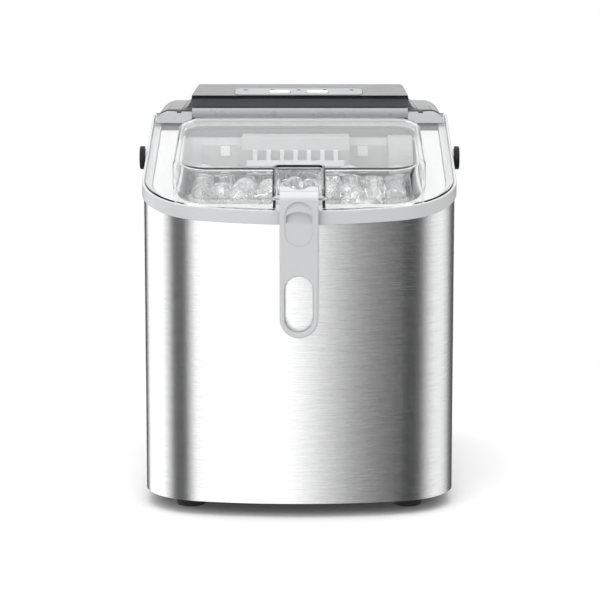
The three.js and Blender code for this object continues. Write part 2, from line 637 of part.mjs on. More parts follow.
// ---- lid ----------------------------------------------------------------------------------
const LID_INSET = 1.1;
const DOME_TOP = [[DOME_FRONT, 245], [DOME_REAR, 271]];
const domeLine = (distance) => {
  const [[nearY, nearZ], [farY, farZ]] = DOME_TOP;
  return nearZ + ((farZ - nearZ) * (distance - nearY)) / (farY - nearY);
};
const LID_REAR = 186.6;
const NOTCH = { half: 16.2, wall: 2.2, far: 31 };
{
  const flangePlan = bodyPlan(LID_INSET, 195, 2);
  const flangeBand = rimBand(LID_TOP - LID_FLANGE, LID_TOP, -10, LID_REAR);
  const flange = common(raised(flangePlan, 200, 300), flangeBand);
  const skirtRing = cut(raised(flangePlan, 200, 300), raised(bodyPlan(LID_INSET + 2.2, 196, 2), 190, 310));
  const skirt = common(skirtRing, rimBand(6.4, LID_TOP, -10, 170));
  const under = (drop, near, far) =>
    across(
      [
        [near, 200],
        [far, 200],
        [far, domeLine(far) - drop],
        [near, domeLine(near) - drop],
      ],
      -130,
      130,
    );
  const domeOuter = common(
    raised(roundedPlan(DOME_HALF, DOME_FRONT, DOME_REAR, 26, 20), 205, 300, 7),
    under(0, 0, 180),
    rimBand(LID_TOP - LID_FLANGE, 80, -10, 200),
  );
  const wall = 2.4;
  const wallPlan = roundedPlan(NOTCH.half + NOTCH.wall, 2.5, NOTCH.far + NOTCH.wall, 1, 4);
  const notchWall = raised(wallPlan, 205, 300, 3);
  const cheeks = common(
    notchWall,
    across(
      [[2.5, 200], [50, 200], [50, domeLine(50)], [DOME_FRONT, 245], [14, 240], [4, 231], [2.5, 228]],
      -20,
      20,
    ),
    rimBand(LID_TOP - LID_FLANGE, 80, -10, 200),
  );
  const notch = raised(roundedPlan(NOTCH.half, -5, NOTCH.far, 0.5, 3), 205, 300, 3);
  const notchAbove = common(notch, rimBand(LID_TOP - 1.4, 90, -10, 200));
  const domeInner = cut(
    common(
      raised(roundedPlan(DOME_HALF - wall, DOME_FRONT + wall, DOME_REAR - wall, 23.6, 17.6), 190, 300, 7),
      under(wall, 0, 180),
    ),
    raised(roundedPlan(NOTCH.half + NOTCH.wall, 0, NOTCH.far + NOTCH.wall, 1, 4), 180, 300, 3),
  );
  const barrel = cylinder("x", [0, LID_HINGE.y, LID_HINGE.z], LID_HINGE.radius, 180, 20);
  const barrelBores = [-88, 88].map((x) => cylinder("x", [x, LID_HINGE.y, LID_HINGE.z], 2.3, 9.5, 12));
  const lugRoom = [-1, 1].map((side) => {
    const low = side * LUG.x - LUG.width / 2 - 0.4;
    return block([low, 176, 240], [low + LUG.width + 0.8, 195, 290]);
  });
  const strapBore = cylinder("x", [0, STRAP_AXIS.y, STRAP_AXIS.z], 1.9, 60, 12);
  const upperShell = joined(cut(joined(flange, domeOuter, cheeks, skirt), domeInner), barrel);
  const lid = cut(upperShell, notchAbove, ...barrelBores, ...lugRoom, strapBore);
  addNode("lid", lid, 0xdfe8ec, 0.08, 0);
}
for (const [name, side] of [["lid_hinge_pin_left", -1], ["lid_hinge_pin_right", 1]]) {
  addNode(name, cylinder("x", [side * 88.8, LID_HINGE.y, LID_HINGE.z], 2, 9.6, 12), 0xb0b2b5, 0.3, 1);
}

// ---- pull strap ---------------------------------------------------------------------------
const STRAP = { half: 13.5, bottom: 130, holeHalf: 9.8, holeRise: 20 };
{
  const slab = across(
    [[-2.2, 222], [-2.2, 120], [-8, 120], [-8, 226], [-6, 229], [12, 234], [12, 230.5], [9, 226]],
    -STRAP.half,
    STRAP.half,
  );
  const knuckle = cylinder("x", [0, STRAP_AXIS.y, STRAP_AXIS.z], 4.2, STRAP.half * 2, 16);
  const face = new THREE.Shape();
  face.moveTo(-STRAP.half, 250);
  face.lineTo(-STRAP.half, STRAP.bottom + STRAP.half);
  face.absarc(0, STRAP.bottom + STRAP.half, STRAP.half, Math.PI, Math.PI * 2);
  face.lineTo(STRAP.half, 250);
  face.closePath();
  const hole = new THREE.Shape();
  const holeLow = STRAP.bottom + STRAP.half;
  hole.absarc(0, holeLow, STRAP.holeHalf, Math.PI, Math.PI * 2);
  hole.absarc(0, holeLow + STRAP.holeRise, STRAP.holeHalf, 0, Math.PI);
  hole.closePath();
  const recess = new THREE.Shape();
  recess.absarc(0, 204, STRAP.holeHalf, Math.PI, Math.PI * 2);
  recess.absarc(0, 213, STRAP.holeHalf, 0, Math.PI);
  recess.closePath();
  const upright = (shape, near, far) => {
    const settings = { depth: far - near, bevelEnabled: false, curveSegments: 10 };
    const geometry = new THREE.ExtrudeGeometry(shape, settings);
    geometry.applyMatrix4(new THREE.Matrix4().set(1, 0, 0, 0, 0, 0, -1, atY(far), 0, 1, 0, 0, 0, 0, 0, 1));
    return solid(geometry);
  };
  const body = common(joined(slab, knuckle), upright(face, -20, 30));
  const bore = cylinder("x", [0, STRAP_AXIS.y, STRAP_AXIS.z], 1.9, 60, 12);
  const strap = cut(body, upright(hole, -20, 5), upright(recess, -20, -4.6), bore);
  addNode("pull_strap", strap, 0xcfd1d3, 0.35, 0.3);
}
addNode("strap_pin", cylinder("x", [0, STRAP_AXIS.y, STRAP_AXIS.z], 1.6, 35, 12), 0xb0b2b5, 0.3, 1);

// ---- carry handle -------------------------------------------------------------------------
const handle = new THREE.Group();
handle.position.set(0, atY(HANDLE_AXIS.y), HANDLE_AXIS.z);
handle.rotation.x = -HANDLE_DROP;
root.add(handle);
const GRIP_HALF = 62;
{
  // drawn level and pointing back from the pivot, then turned down by the group
  const outer = ARM_INNER + ARM_THICK;
  const bend = 30;
  const shape = new THREE.Shape();
  shape.moveTo(-outer, 0);
  shape.lineTo(-ARM_INNER, 0);
  shape.lineTo(-ARM_INNER, HANDLE_REACH - bend - 4);
  shape.absarc(-ARM_INNER + bend, HANDLE_REACH - bend - 4, bend, Math.PI, Math.PI / 2, true);
  shape.lineTo(ARM_INNER - bend, HANDLE_REACH - 4);
  shape.absarc(ARM_INNER - bend, HANDLE_REACH - bend - 4, bend, Math.PI / 2, 0, true);
  shape.lineTo(ARM_INNER, 0);
  shape.lineTo(outer, 0);
  shape.lineTo(outer, HANDLE_REACH - bend);
  shape.absarc(outer - bend - 2, HANDLE_REACH - bend + 2, bend + 2, 0, Math.PI / 2);
  shape.lineTo(-outer + bend + 2, HANDLE_REACH + 4);
  shape.absarc(-outer + bend + 2, HANDLE_REACH - bend + 2, bend + 2, Math.PI / 2, Math.PI);
  shape.closePath();
  const bar = new THREE.ExtrudeGeometry(shape, { depth: 10, bevelEnabled: false, curveSegments: 8 });
  bar.translate(0, 0, -5);
  const hubs = [-1, 1].map((side) => {
    const hub = new THREE.CylinderGeometry(8.6, 8.6, ARM_THICK, 28);
    hub.rotateZ(Math.PI / 2);
    hub.translate(side * (ARM_INNER + ARM_THICK / 2), 0, 0);
    return solid(hub);
  });
  const bore = new THREE.CylinderGeometry(2.75, 2.75, 300, 12);
  bore.rotateZ(Math.PI / 2);
  const grip = new THREE.CylinderGeometry(6, 6, GRIP_HALF * 2, 16);
  grip.rotateZ(Math.PI / 2);
  grip.translate(0, HANDLE_REACH, 0);
  const sleeveRoom = new THREE.BoxGeometry(GRIP_HALF * 2 + 0.6, 40, 40);
  sleeveRoom.translate(0, HANDLE_REACH, 0);
  const core = new THREE.CylinderGeometry(3.4, 3.4, GRIP_HALF * 2 + 10, 12);
  core.rotateZ(Math.PI / 2);
  core.translate(0, HANDLE_REACH, 0);
  const frame = joined(cut(solid(bar), solid(sleeveRoom)), solid(core));
  addNode("carry_handle", cut(joined(frame, ...hubs), solid(bore)), 0x121212, 0.55, 0, handle);
  const coreRoom = new THREE.CylinderGeometry(3.4 + GAP, 3.4 + GAP, GRIP_HALF * 2 + 10, 12);
  coreRoom.rotateZ(Math.PI / 2);
  coreRoom.translate(0, HANDLE_REACH, 0);
  addNode("handle_grip", cut(solid(grip), solid(coreRoom)), 0x0c0c0c, 0.8, 0, handle);
}
for (const [name, side] of [["handle_pin_left", -1], ["handle_pin_right", 1]]) {
  const pin = cylinder("x", [side * 113.7, HANDLE_AXIS.y, HANDLE_AXIS.z], 2.4, 6.6, 12);
  addNode(name, pin, 0xb0b2b5, 0.3, 1);
}

// ---- power inlet and rear screws ----------------------------------------------------------
{
  const body = block([58, 264, 31.5], [86, 285.6, 52.5]);
  const flange = block([54, 285.4, 28], [90, 287.6, 56]);
  const socket = block([60.5, 270, 34], [83.5, 290, 50]);
  const blades = [-7, 0, 7].map((step) => block([71 + step, 269, 40], [73 + step, 282, 44]));
  addNode("power_inlet", joined(cut(joined(body, flange), socket), ...blades), 0x161616, 0.5, 0);
}
for (const [name, x, z] of [
  ["screw_rear_upper_left", -84, 246],
  ["screw_rear_upper_right", 84, 246],
  ["screw_rear_lower_left", -60, 20],
  ["screw_rear_lower_right", 80, 20],
]) {
  const head = cylinder("y", [x, DEPTH + 1.3, z], 3.2, 2, 14);
  const slot = block([x - 2.2, DEPTH + 1.6, z - 0.5], [x + 2.2, DEPTH + 3, z + 0.5]);
  addNode(name, cut(head, slot), 0x9b9da0, 0.35, 1);
}

export default root;
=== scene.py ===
# %% [markdown]
# # A countertop ice maker, modelled piece by piece
# The machine is a brushed-steel drum with a bowed front, a sloping silver bezel, a clear domed lid,
# a dark rear cover with the controls, a pull strap in front and a carry handle folded behind.
# The frame (sizes, joints, hidden machinery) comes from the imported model. Here each visible piece
# is modelled again with Blender's own tools, so that edges are rounded and surfaces are true.

# %% Load the frame
import json
import math
import random

import bmesh
import bpy
from mathutils import Matrix, Vector


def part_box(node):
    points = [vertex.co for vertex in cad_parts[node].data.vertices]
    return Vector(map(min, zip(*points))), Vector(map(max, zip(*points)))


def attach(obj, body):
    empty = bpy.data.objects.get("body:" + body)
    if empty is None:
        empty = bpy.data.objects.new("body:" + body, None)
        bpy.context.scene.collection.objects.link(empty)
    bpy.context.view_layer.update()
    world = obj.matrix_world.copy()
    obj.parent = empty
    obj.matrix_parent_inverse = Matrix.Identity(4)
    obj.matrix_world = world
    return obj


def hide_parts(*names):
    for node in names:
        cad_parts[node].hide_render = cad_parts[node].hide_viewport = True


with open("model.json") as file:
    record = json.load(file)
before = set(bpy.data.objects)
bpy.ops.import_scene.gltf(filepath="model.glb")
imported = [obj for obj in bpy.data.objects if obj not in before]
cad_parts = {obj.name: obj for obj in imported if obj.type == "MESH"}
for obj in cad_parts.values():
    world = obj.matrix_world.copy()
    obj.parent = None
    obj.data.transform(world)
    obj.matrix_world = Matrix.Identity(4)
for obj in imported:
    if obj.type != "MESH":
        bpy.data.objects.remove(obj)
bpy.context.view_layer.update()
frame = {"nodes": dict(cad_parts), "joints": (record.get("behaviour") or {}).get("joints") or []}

# %% [markdown]
# ## Driving sizes
# A maker works in millimetres and measures depth from the front of the steel. Everything below is
# written that way, and `place` turns it into Blender's metres. The main sizes come from the frame's
# own boxes, so the new pieces can't drift away from the machine they belong to.

# %% Sizes
MM = 0.001  # one millimetre, in Blender's metres
steel_low, steel_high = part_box("steel_wrap")
FRONT_Y = steel_low.y
HALF_WIDTH = steel_high.x / MM
STEEL_BOTTOM = steel_low.z / MM
REAR_SEAM = steel_high.z / MM
DEPTH = (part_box("rear_panel")[1].y - FRONT_Y) / MM
WRAP_REAR = (steel_high.y - FRONT_Y) / MM
CORNER_RADIUS = 50
REAR_RADIUS = 22
BOW_ANGLE = math.radians(12.6)
RIM_SLOPE = 0.277
RIM_END = 187
LID_REAR = 186.6
RIM_FRONT = REAR_SEAM - RIM_SLOPE * RIM_END
BEZEL_PROUD = 1.4
BEZEL_TOP = 10
LID_TOP = 10.6
LID_THICK = 3
RIM_UP = Vector((0, -RIM_SLOPE, 1)).normalized()
joints = {joint["name"]: joint for joint in frame["joints"]}
print(f"body {2 * HALF_WIDTH:.0f} wide, {DEPTH:.0f} deep, rim {RIM_FRONT:.1f} to {REAR_SEAM:.1f} mm")


def rim(distance):
    """Height of the steel's top edge at a distance behind the front."""
    return RIM_FRONT + RIM_SLOPE * distance


def place(x, distance, z):
    """Millimetres (across, behind the front, up) as a point in metres."""
    return Vector((x * MM, FRONT_Y + distance * MM, z * MM))


def pivot(joint_name):
    """A hinge's point as millimetres (across, behind the front, up)."""
    x, y, z = joints[joint_name]["pos_m"]
    return x / MM, (y - FRONT_Y) / MM, z / MM


# %% [markdown]
# ## The camera
# A product shot: a long lens from a little above the rim, level with the middle of the body, so that
# the sides stay almost upright. It stands a few millimetres to the right of the centre line and is
# turned back towards it by a fifth of a degree.

# %% Camera
CAMERA_BACK = 1650
CAMERA_X = 6
CAMERA_Z = 421
CAMERA_DIP = 9.13  # degrees below level
CAMERA_TURN = 0.184
camera_data = bpy.data.cameras.new("camera")
camera_data.lens = 144
camera_data.sensor_width = 36
camera = bpy.data.objects.new("camera", camera_data)
bpy.context.scene.collection.objects.link(camera)
camera.location = place(CAMERA_X, -CAMERA_BACK, CAMERA_Z)
camera.rotation_euler = (math.radians(90 - CAMERA_DIP), 0, math.radians(CAMERA_TURN))
bpy.context.scene.camera = camera
print(f"camera {CAMERA_BACK} mm in front, {CAMERA_Z} mm up, {CAMERA_DIP} degrees down")

# %% [markdown]
# ## Hand tools
# A few helpers wrap the operators that every piece needs: select one object, pick parts of a mesh by
# where they are, raise an outline into a prism, slice it with a plane, join and cut solids, round
# edges. They are what a modeller does with the mouse, written down.

# %% Selecting


def only(obj):
    """Selects and activates one object."""
    bpy.ops.object.select_all(action="DESELECT")
    obj.select_set(True)
    bpy.context.view_layer.objects.active = obj
    return obj


def edit(obj):
    """Enters edit mode with everything selected."""
    only(obj)
    bpy.ops.object.mode_set(mode="EDIT")
    bpy.ops.mesh.select_all(action="SELECT")


def done():
    """Leaves edit mode."""
    bpy.ops.object.mode_set(mode="OBJECT")


def middle(part):
    """The middle of a face or an edge, in metres."""
    points = [vertex.co for vertex in part.verts]
    return sum(points, Vector()) / len(points)


def pick(obj, kind, test):
    """In edit mode, selects the vertices, edges or faces that pass a test, and says how many."""
    bpy.ops.mesh.select_mode(type=kind)
    bpy.ops.mesh.select_all(action="DESELECT")
    shape = bmesh.from_edit_mesh(obj.data)
    parts = {"VERT": shape.verts, "EDGE": shape.edges, "FACE": shape.faces}[kind]
    chosen = [part for part in parts if test(part)]
    for part in chosen:
        part.select_set(True)
    bmesh.update_edit_mesh(obj.data)
    return len(chosen)


# %% [markdown]
# ### Outlines
# The body's plan is what the sheet is bent round: a bowed front, round front corners tangent to the
# bow, straight sides and tighter rear corners. Nearly every casing part is this outline moved in.

# %% Outlines, in millimetres


def arc(center, radius, start, end, steps):
    """Points along an arc, with angles in degrees."""
    turns = [math.radians(start + (end - start) * step / steps) for step in range(steps + 1)]
    return [(center[0] + radius * math.cos(turn), center[1] + radius * math.sin(turn)) for turn in turns]


def body_plan(inset=0, depth=None, rear_radius=REAR_RADIUS, steps=14):
    """The body seen from above, moved inwards by an inset: round corners and a bowed front."""
    depth = DEPTH if depth is None else depth
    half = HALF_WIDTH - inset
    radius = CORNER_RADIUS - inset
    corner_x = HALF_WIDTH - CORNER_RADIUS
    arc_end = corner_x + CORNER_RADIUS * math.sin(BOW_ANGLE)
    corner_y = arc_end * math.tan(BOW_ANGLE) / 2 + CORNER_RADIUS * math.cos(BOW_ANGLE)
    end_x = corner_x + radius * math.sin(BOW_ANGLE)
    end_y = corner_y - radius * math.cos(BOW_ANGLE)
    bow = math.degrees(BOW_ANGLE)
    rear = depth - inset
    turn = max(rear_radius - inset, 0.5)
    points = arc((-half + turn, rear - turn), turn, 90, 180, 8)
    points += arc((-corner_x, corner_y), radius, 180, 270 - bow, steps)
    for step in range(1, 20):
        share = step / 10 - 1
        points.append((share * end_x, end_y - (1 - share * share) * end_x * math.tan(BOW_ANGLE) / 2))
    points += arc((corner_x, corner_y), radius, -90 + bow, 0, steps)
    points += arc((half - turn, rear - turn), turn, 0, 90, 8)
    return points


def rounded(half, near, far, front_radius, rear_radius=None, center=0, steps=8):
    """A rectangle with round corners."""
    rear_radius = front_radius if rear_radius is None else rear_radius
    left, right = center - half, center + half
    return (
        arc((left + front_radius, near + front_radius), front_radius, 180, 270, steps)
        + arc((right - front_radius, near + front_radius), front_radius, 270, 360, steps)
        + arc((right - rear_radius, far - rear_radius), rear_radius, 0, 90, steps)
        + arc((left + rear_radius, far - rear_radius), rear_radius, 90, 180, steps)
    )


# %% [markdown]
# ### Solids from outlines
# Casings are extruded, so a prism sliced by planes gives their walls true and flat. Turned parts are
# a profile spun round an axis. Whatever follows the sloping rim is a slab between two tilted planes.

# %% Solids from outlines
TO_POINT = {
    "Z": lambda u, v, w: place(u, v, w),
    "X": lambda u, v, w: place(w, u, v),
    "Y": lambda u, v, w: place(u, w, v),
}


def prism(name, outline, low, high, axis="Z"):
    """An outline across an axis, raised along it. Z takes (x, distance), X (distance, z), Y (x, z)."""
    to_point = TO_POINT[axis]
    bpy.ops.object.select_all(action="DESELECT")
    bpy.ops.mesh.primitive_circle_add(vertices=len(outline), radius=0.1, fill_type="NGON")
    obj = bpy.context.object
    obj.name = name
    for vertex, (u, v) in zip(obj.data.vertices, outline):
        vertex.co = to_point(u, v, low)
    rise = to_point(0, 0, high) - to_point(0, 0, low)
    edit(obj)
    bpy.ops.mesh.extrude_region_move(TRANSFORM_OT_translate={"value": rise})
    bpy.ops.mesh.select_all(action="SELECT")
    bpy.ops.mesh.remove_doubles(threshold=1e-6)
    bpy.ops.mesh.normals_make_consistent(inside=False)
    done()
    return obj


def box(name, low, high):
    """A block between two corners, in millimetres."""
    outline = [(low[0], low[1]), (high[0], low[1]), (high[0], high[1]), (low[0], high[1])]
    return prism(name, outline, low[2], high[2])


def slice_off(obj, point, normal):
    """Cuts away what lies on the side that the normal points to, and closes the cut."""
    edit(obj)
    bpy.ops.mesh.bisect(plane_co=point, plane_no=normal, use_fill=True, clear_outer=True)
    done()
    return obj


def slab(name, outline, low, high, far=None):
    """The part of an outline between two heights above the sloping rim."""
    obj = prism(name, outline, 120, 360)
    slice_off(obj, place(0, 0, RIM_FRONT + high), RIM_UP)
    slice_off(obj, place(0, 0, RIM_FRONT + low), -RIM_UP)
    if far is not None:
        slice_off(obj, place(0, far, 0), (0, 1, 0))
    return obj


def spun(name, profile, center, axis, steps=48):
    """A (radius, along) profile turned about an axis through a centre, all in millimetres."""
    middle_point = place(*center)
    along = {"X": Vector((1, 0, 0)), "Y": Vector((0, 1, 0)), "Z": Vector((0, 0, 1))}[axis]
    side = {"X": Vector((0, 0, 1)), "Y": Vector((1, 0, 0)), "Z": Vector((1, 0, 0))}[axis]
    bpy.ops.object.select_all(action="DESELECT")
    bpy.ops.mesh.primitive_circle_add(vertices=len(profile), radius=0.1, fill_type="NOTHING")
    obj = bpy.context.object
    obj.name = name
    for vertex, (radius, height) in zip(obj.data.vertices, profile):
        vertex.co = middle_point + side * radius * MM + along * height * MM
    edit(obj)
    bpy.ops.mesh.spin(steps=steps, angle=math.tau, center=middle_point, axis=along, dupli=False)
    bpy.ops.mesh.select_all(action="SELECT")
    bpy.ops.mesh.remove_doubles(threshold=1e-6)
    bpy.ops.mesh.dissolve_degenerate(threshold=1e-7)
    bpy.ops.mesh.delete_loose(use_verts=True, use_edges=True, use_faces=False)
    bpy.ops.mesh.select_all(action="SELECT")
    bpy.ops.mesh.normals_make_consistent(inside=False)
    done()
    return obj


def rod(name, radius, low, high, center, axis, steps):
    """A plain round bar between two places along an axis."""
    return spun(name, [(0, low), (radius, low), (radius, high), (0, high)], center, axis, steps)


# %% [markdown]
# ### Joining, cutting and rounding
# Exact booleans join and cut the solids as a mould maker would, and a bevel limited by angle breaks
# every sharp edge after that. The bevel is what catches the light and makes a part look moulded.

# %% Joining, cutting and rounding


def modifier(obj, kind, **settings):
    """Adds a modifier with its settings and applies it."""
    only(obj)
    bpy.ops.object.modifier_add(type=kind)
    added = obj.modifiers[-1]
    for key, value in settings.items():
        setattr(added, key, value)
    bpy.ops.object.modifier_apply(modifier=added.name)
    return obj


def combine(obj, others, operation):
    """Joins, cuts or keeps what is common, and removes the other solids."""
    for other in others:
        modifier(obj, "BOOLEAN", operation=operation, object=other, solver="EXACT")
        bpy.data.objects.remove(other)
    return obj


def join(obj, *others):
    """Fuses solids into the first."""
    return combine(obj, others, "UNION")


def cut(obj, *others):
    """Cuts solids out of the first."""
    return combine(obj, others, "DIFFERENCE")


def common(obj, *others):
    """Keeps what all the solids share."""
    return combine(obj, others, "INTERSECT")


def merge(pieces):
    """Puts separate pieces into one object, the first, without fusing them."""
    only(pieces[0])
    for piece in pieces:
        piece.select_set(True)
    bpy.ops.object.join()
    return bpy.context.object


def clean(obj):
    """Merges stray points that a cut leaves."""
    edit(obj)
    bpy.ops.mesh.remove_doubles(threshold=0.02 * MM)
    bpy.ops.mesh.dissolve_degenerate(threshold=0.005 * MM)
    done()
    return obj


def round_edges(obj, width, segments=3, angle=32):
    """Rounds every edge sharper than an angle."""
    clean(obj)
    settings = {"width": width * MM, "segments": segments, "limit_method": "ANGLE"}
    settings["angle_limit"] = math.radians(angle)
    return modifier(obj, "BEVEL", use_clamp_overlap=False, **settings)


def bevel_edges(obj, test, width, segments=5):
    """Rounds only the edges that pass a test."""
    edit(obj)
    count = pick(obj, "EDGE", test)
    bpy.ops.mesh.bevel(offset=width * MM, segments=segments, affect="EDGES", clamp_overlap=False)
    done()
    print(f"  {obj.name}: rounded {count} edges by {width} mm")
    return obj


def box_error(obj, nodes):
    """The furthest that a piece's box is from the box of the nodes it replaces."""
    boxes = [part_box(node) for node in nodes]
    worst = 0
    for axis in range(3):
        spots = [vertex.co[axis] for vertex in obj.data.vertices]
        low = min(corner[0][axis] for corner in boxes)
        high = max(corner[1][axis] for corner in boxes)
        worst = max(worst, abs(min(spots) - low), abs(max(spots) - high))
    return round(worst / MM, 2)


def finish(obj, material, body, slot, *nodes, angle=30):
    """Shades a piece, paints it, and hangs it on its body in place of its plain node."""
    only(obj)
    bpy.ops.object.transform_apply(location=True, rotation=True, scale=True)
    bpy.ops.object.shade_smooth_by_angle(angle=math.radians(angle))
    modifier(obj, "WEIGHTED_NORMAL", weight=100, keep_sharp=True)
    obj.data.materials.clear()
    obj.data.materials.append(material)
    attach(obj, body)
    faces = sum(len(face.vertices) - 2 for face in obj.data.polygons)
    print(f"{obj.name}: {faces} triangles, rides on {body}")
    if nodes:
        print("  off the frame's box by", box_error(obj, nodes), "mm")
        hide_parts(*nodes)
    return obj


# %% [markdown]
# ## Finishes
# Every finish is built from nodes. A helper makes a Principled shader and a second one adds the two
# things that keep a surface from looking computer-made: a little unevenness in how rough it is, and a
# fine bump at the true scale of the moulding or brushing.

# %% Material helpers


COLOR_A, COLOR_B, COLOR_OUT = 6, 7, 2  # a Mix node's colour sockets, by number


def principled(material):
    """A material's Principled shader node."""
    return material.node_tree.nodes["Principled BSDF"]


def new_material(name, color, roughness, metallic=0.0, **sockets):
    """A Principled material. Extra sockets are given by name with _ for spaces."""
    material = bpy.data.materials.new(name)
    material.use_nodes = True
    shader = principled(material)
    shader.inputs["Base Color"].default_value = (*color, 1)
    shader.inputs["Roughness"].default_value = roughness
    shader.inputs["Metallic"].default_value = metallic
    for key, value in sockets.items():
        shader.inputs[key.replace("_", " ")].default_value = value
    return material


def add(owner, kind, **settings):
    """Adds a node to a material or world: attributes by name, inputs as a dictionary."""
    node = owner.node_tree.nodes.new(kind)
    for key, value in settings.pop("inputs", {}).items():
        node.inputs[key].default_value = value
    for key, value in settings.items():
        setattr(node, key, value)
    return node


def smooth_step(owner, low, high, **inputs):
    """A soft rise from 0 to 1 as its value goes from low to high."""
    inputs = {"From Min": low, "From Max": high} | inputs
    return add(owner, "ShaderNodeMapRange", interpolation_type="SMOOTHSTEP", inputs=inputs)


def link(owner, *wires):
    """Joins sockets. Each wire is (node, its output, node, its input)."""
    for source, output, target, entry in wires:
        owner.node_tree.links.new(source.outputs[output], target.inputs[entry])


def stretched_noise(material, scale, stretch=(1, 1, 1), detail=4.0, rough=0.6):
    """Noise on object coordinates, stretched along an axis by a small number there."""
    coordinates = add(material, "ShaderNodeTexCoord")
    mapping = add(material, "ShaderNodeMapping", inputs={"Scale": stretch})
    settings = {"Scale": scale, "Detail": detail, "Roughness": rough}
    noise = add(material, "ShaderNodeTexNoise", inputs=settings)
    link(material, (coordinates, "Object", mapping, "Vector"), (mapping, "Vector", noise, "Vector"))
    return noise


def vary(material, noise, socket, low, high):
    """Drives a shader socket between two values by a noise."""
    spread = add(material, "ShaderNodeMapRange", inputs={"To Min": low, "To Max": high})
    link(material, (noise, "Fac", spread, "Value"), (spread, "Result", principled(material), socket))


def vary_color(material, noise, dark, light):
    """Drives the base colour between two colours by a noise."""
    colors = {COLOR_A: (*dark, 1), COLOR_B: (*light, 1)}
    mix = add(material, "ShaderNodeMix", data_type="RGBA", inputs=colors)
    paint = (mix, COLOR_OUT, principled(material), "Base Color")
    link(material, (noise, "Fac", mix, "Factor"), paint)


def bump(material, noise, distance, strength=1.0):
    """Adds relief of a height in millimetres."""
    node = add(material, "ShaderNodeBump", inputs={"Strength": strength, "Distance": distance * MM})
    link(material, (noise, "Fac", node, "Height"), (node, "Normal", principled(material), "Normal"))


# %% [markdown]
# ### Brushed steel
# The belt that brushes the sheet runs round the drum, so every scratch is a long level line. Noise
# squeezed hard in height gives them, and an anisotropic shader with its tangent round the Z axis
# smears reflections up and down, as real brushing does.

# %% Brushed steel


def brushed_steel():
    """Long level scratches, a shine smeared up and down, and a mirror that is never quite even."""
    brushed = {"Anisotropic": 0.95, "Anisotropic_Rotation": 0.25}
    steel = new_material("brushed_steel", (0.74, 0.745, 0.75), 0.22, 1.0, **brushed)
    lines = stretched_noise(steel, 1.0, (60, 60, 1150), detail=4, rough=0.7)
    vary(steel, lines, "Roughness", 0.17, 0.29)
    streaks = stretched_noise(steel, 1.0, (50, 50, 900), detail=5, rough=0.8)
    vary_color(steel, streaks, (0.68, 0.685, 0.69), (1.0, 1.0, 1.0))
    bump(steel, lines, 0.12)
    tangent = add(steel, "ShaderNodeTangent", direction_type="RADIAL", axis="Z")
    link(steel, (tangent, "Tangent", principled(steel), "Tangent"))
    return steel


# %% [markdown]
# ### Moulded plastics
# Injection-moulded parts are never perfectly even: the tool is spark-eroded or polished by hand. A
# fine bump for the grain and a slow drift of roughness are enough, with the numbers set per finish.

# %% Plastics, rubber and plated parts


def moulded(name, dark, light, rough_low, rough_high, grain, grain_height, metallic=0.0, **sockets):
    """A finish between two colours and two roughnesses, with a grain of a scale and a height."""
    material = new_material(name, light, rough_high, metallic, **sockets)
    slow = stretched_noise(material, 18, detail=3)
    vary_color(material, slow, dark, light)
    vary(material, stretched_noise(material, 60, detail=5), "Roughness", rough_low, rough_high)
    bump(material, stretched_noise(material, grain, detail=2), grain_height, 0.5)
    return material


steel_finish = brushed_steel()
silver_finish = moulded("satin_silver", (0.46, 0.465, 0.47), (0.5, 0.505, 0.51), 0.3, 0.42, 900, 0.01)
strap_finish = moulded("strap_silver", (0.45, 0.455, 0.46), (0.49, 0.495, 0.5), 0.25, 0.38, 700, 0.008)
white_finish = moulded("white_satin", (0.74, 0.74, 0.735), (0.79, 0.79, 0.785), 0.3, 0.42, 700, 0.008)
liner_finish = moulded("liner_grey", (0.5, 0.51, 0.52), (0.56, 0.57, 0.58), 0.32, 0.48, 600, 0.01)
# Painted shade: a dark copy of the liner's grey for the covers deep in the ice room, standing in for the
# shade that falls there.
shade_finish = moulded("painted_shade_grey", (0.22, 0.225, 0.23), (0.26, 0.265, 0.27), 0.35, 0.5, 600, 0.01)
# Painted shade: the white deck is a darker copy of the white plastic, toned down where the overhead light
# falls full on it.
deck_shaded_finish = moulded("deck_white_painted_shade", (0.58, 0.58, 0.575), (0.63, 0.63, 0.625), 0.3, 0.42, 700, 0.008)
# Painted shade: the ice room's rear wall is a darker copy of the liner grey, standing in for the shade deep
# inside the machine.
wall_shade_finish = moulded("wall_painted_shade", (0.36, 0.365, 0.37), (0.4, 0.405, 0.41), 0.35, 0.5, 600, 0.01)
# Painted shade: the control strip is a darker copy of the satin silver, toned down where the overhead light
# falls full on it.
strip_shaded_finish = moulded(
    "strip_silver_painted_shade", (0.3, 0.305, 0.31), (0.34, 0.345, 0.35), 0.4, 0.55, 900, 0.01,
    Specular_IOR_Level=0.3,
)
cover_finish = moulded("cover_grey", (0.032, 0.033, 0.035), (0.042, 0.043, 0.046), 0.2, 0.3, 1400, 0.01)
black_finish = moulded(
    "black_grained", (0.004, 0.004, 0.004), (0.008, 0.008, 0.008), 0.35, 0.5, 1200, 0.02,
    Specular_IOR_Level=0.3,
)
rubber_finish = moulded("black_rubber", (0.02, 0.02, 0.02), (0.035, 0.034, 0.033), 0.7, 0.9, 1500, 0.03)
panel_finish = moulded("rear_powder_coat", (0.045, 0.046, 0.05), (0.06, 0.061, 0.066), 0.45, 0.65, 1300, 0.03)
pin_finish = moulded("plain_steel", (0.5, 0.5, 0.51), (0.66, 0.66, 0.67), 0.2, 0.4, 500, 0.01, 1.0)
copper_finish = moulded("drawn_copper", (0.62, 0.3, 0.15), (0.8, 0.43, 0.24), 0.22, 0.42, 300, 0.01, 1.0)
zinc_finish = moulded("zinc_plate", (0.42, 0.43, 0.44), (0.58, 0.59, 0.6), 0.3, 0.5, 260, 0.01, 0.9)
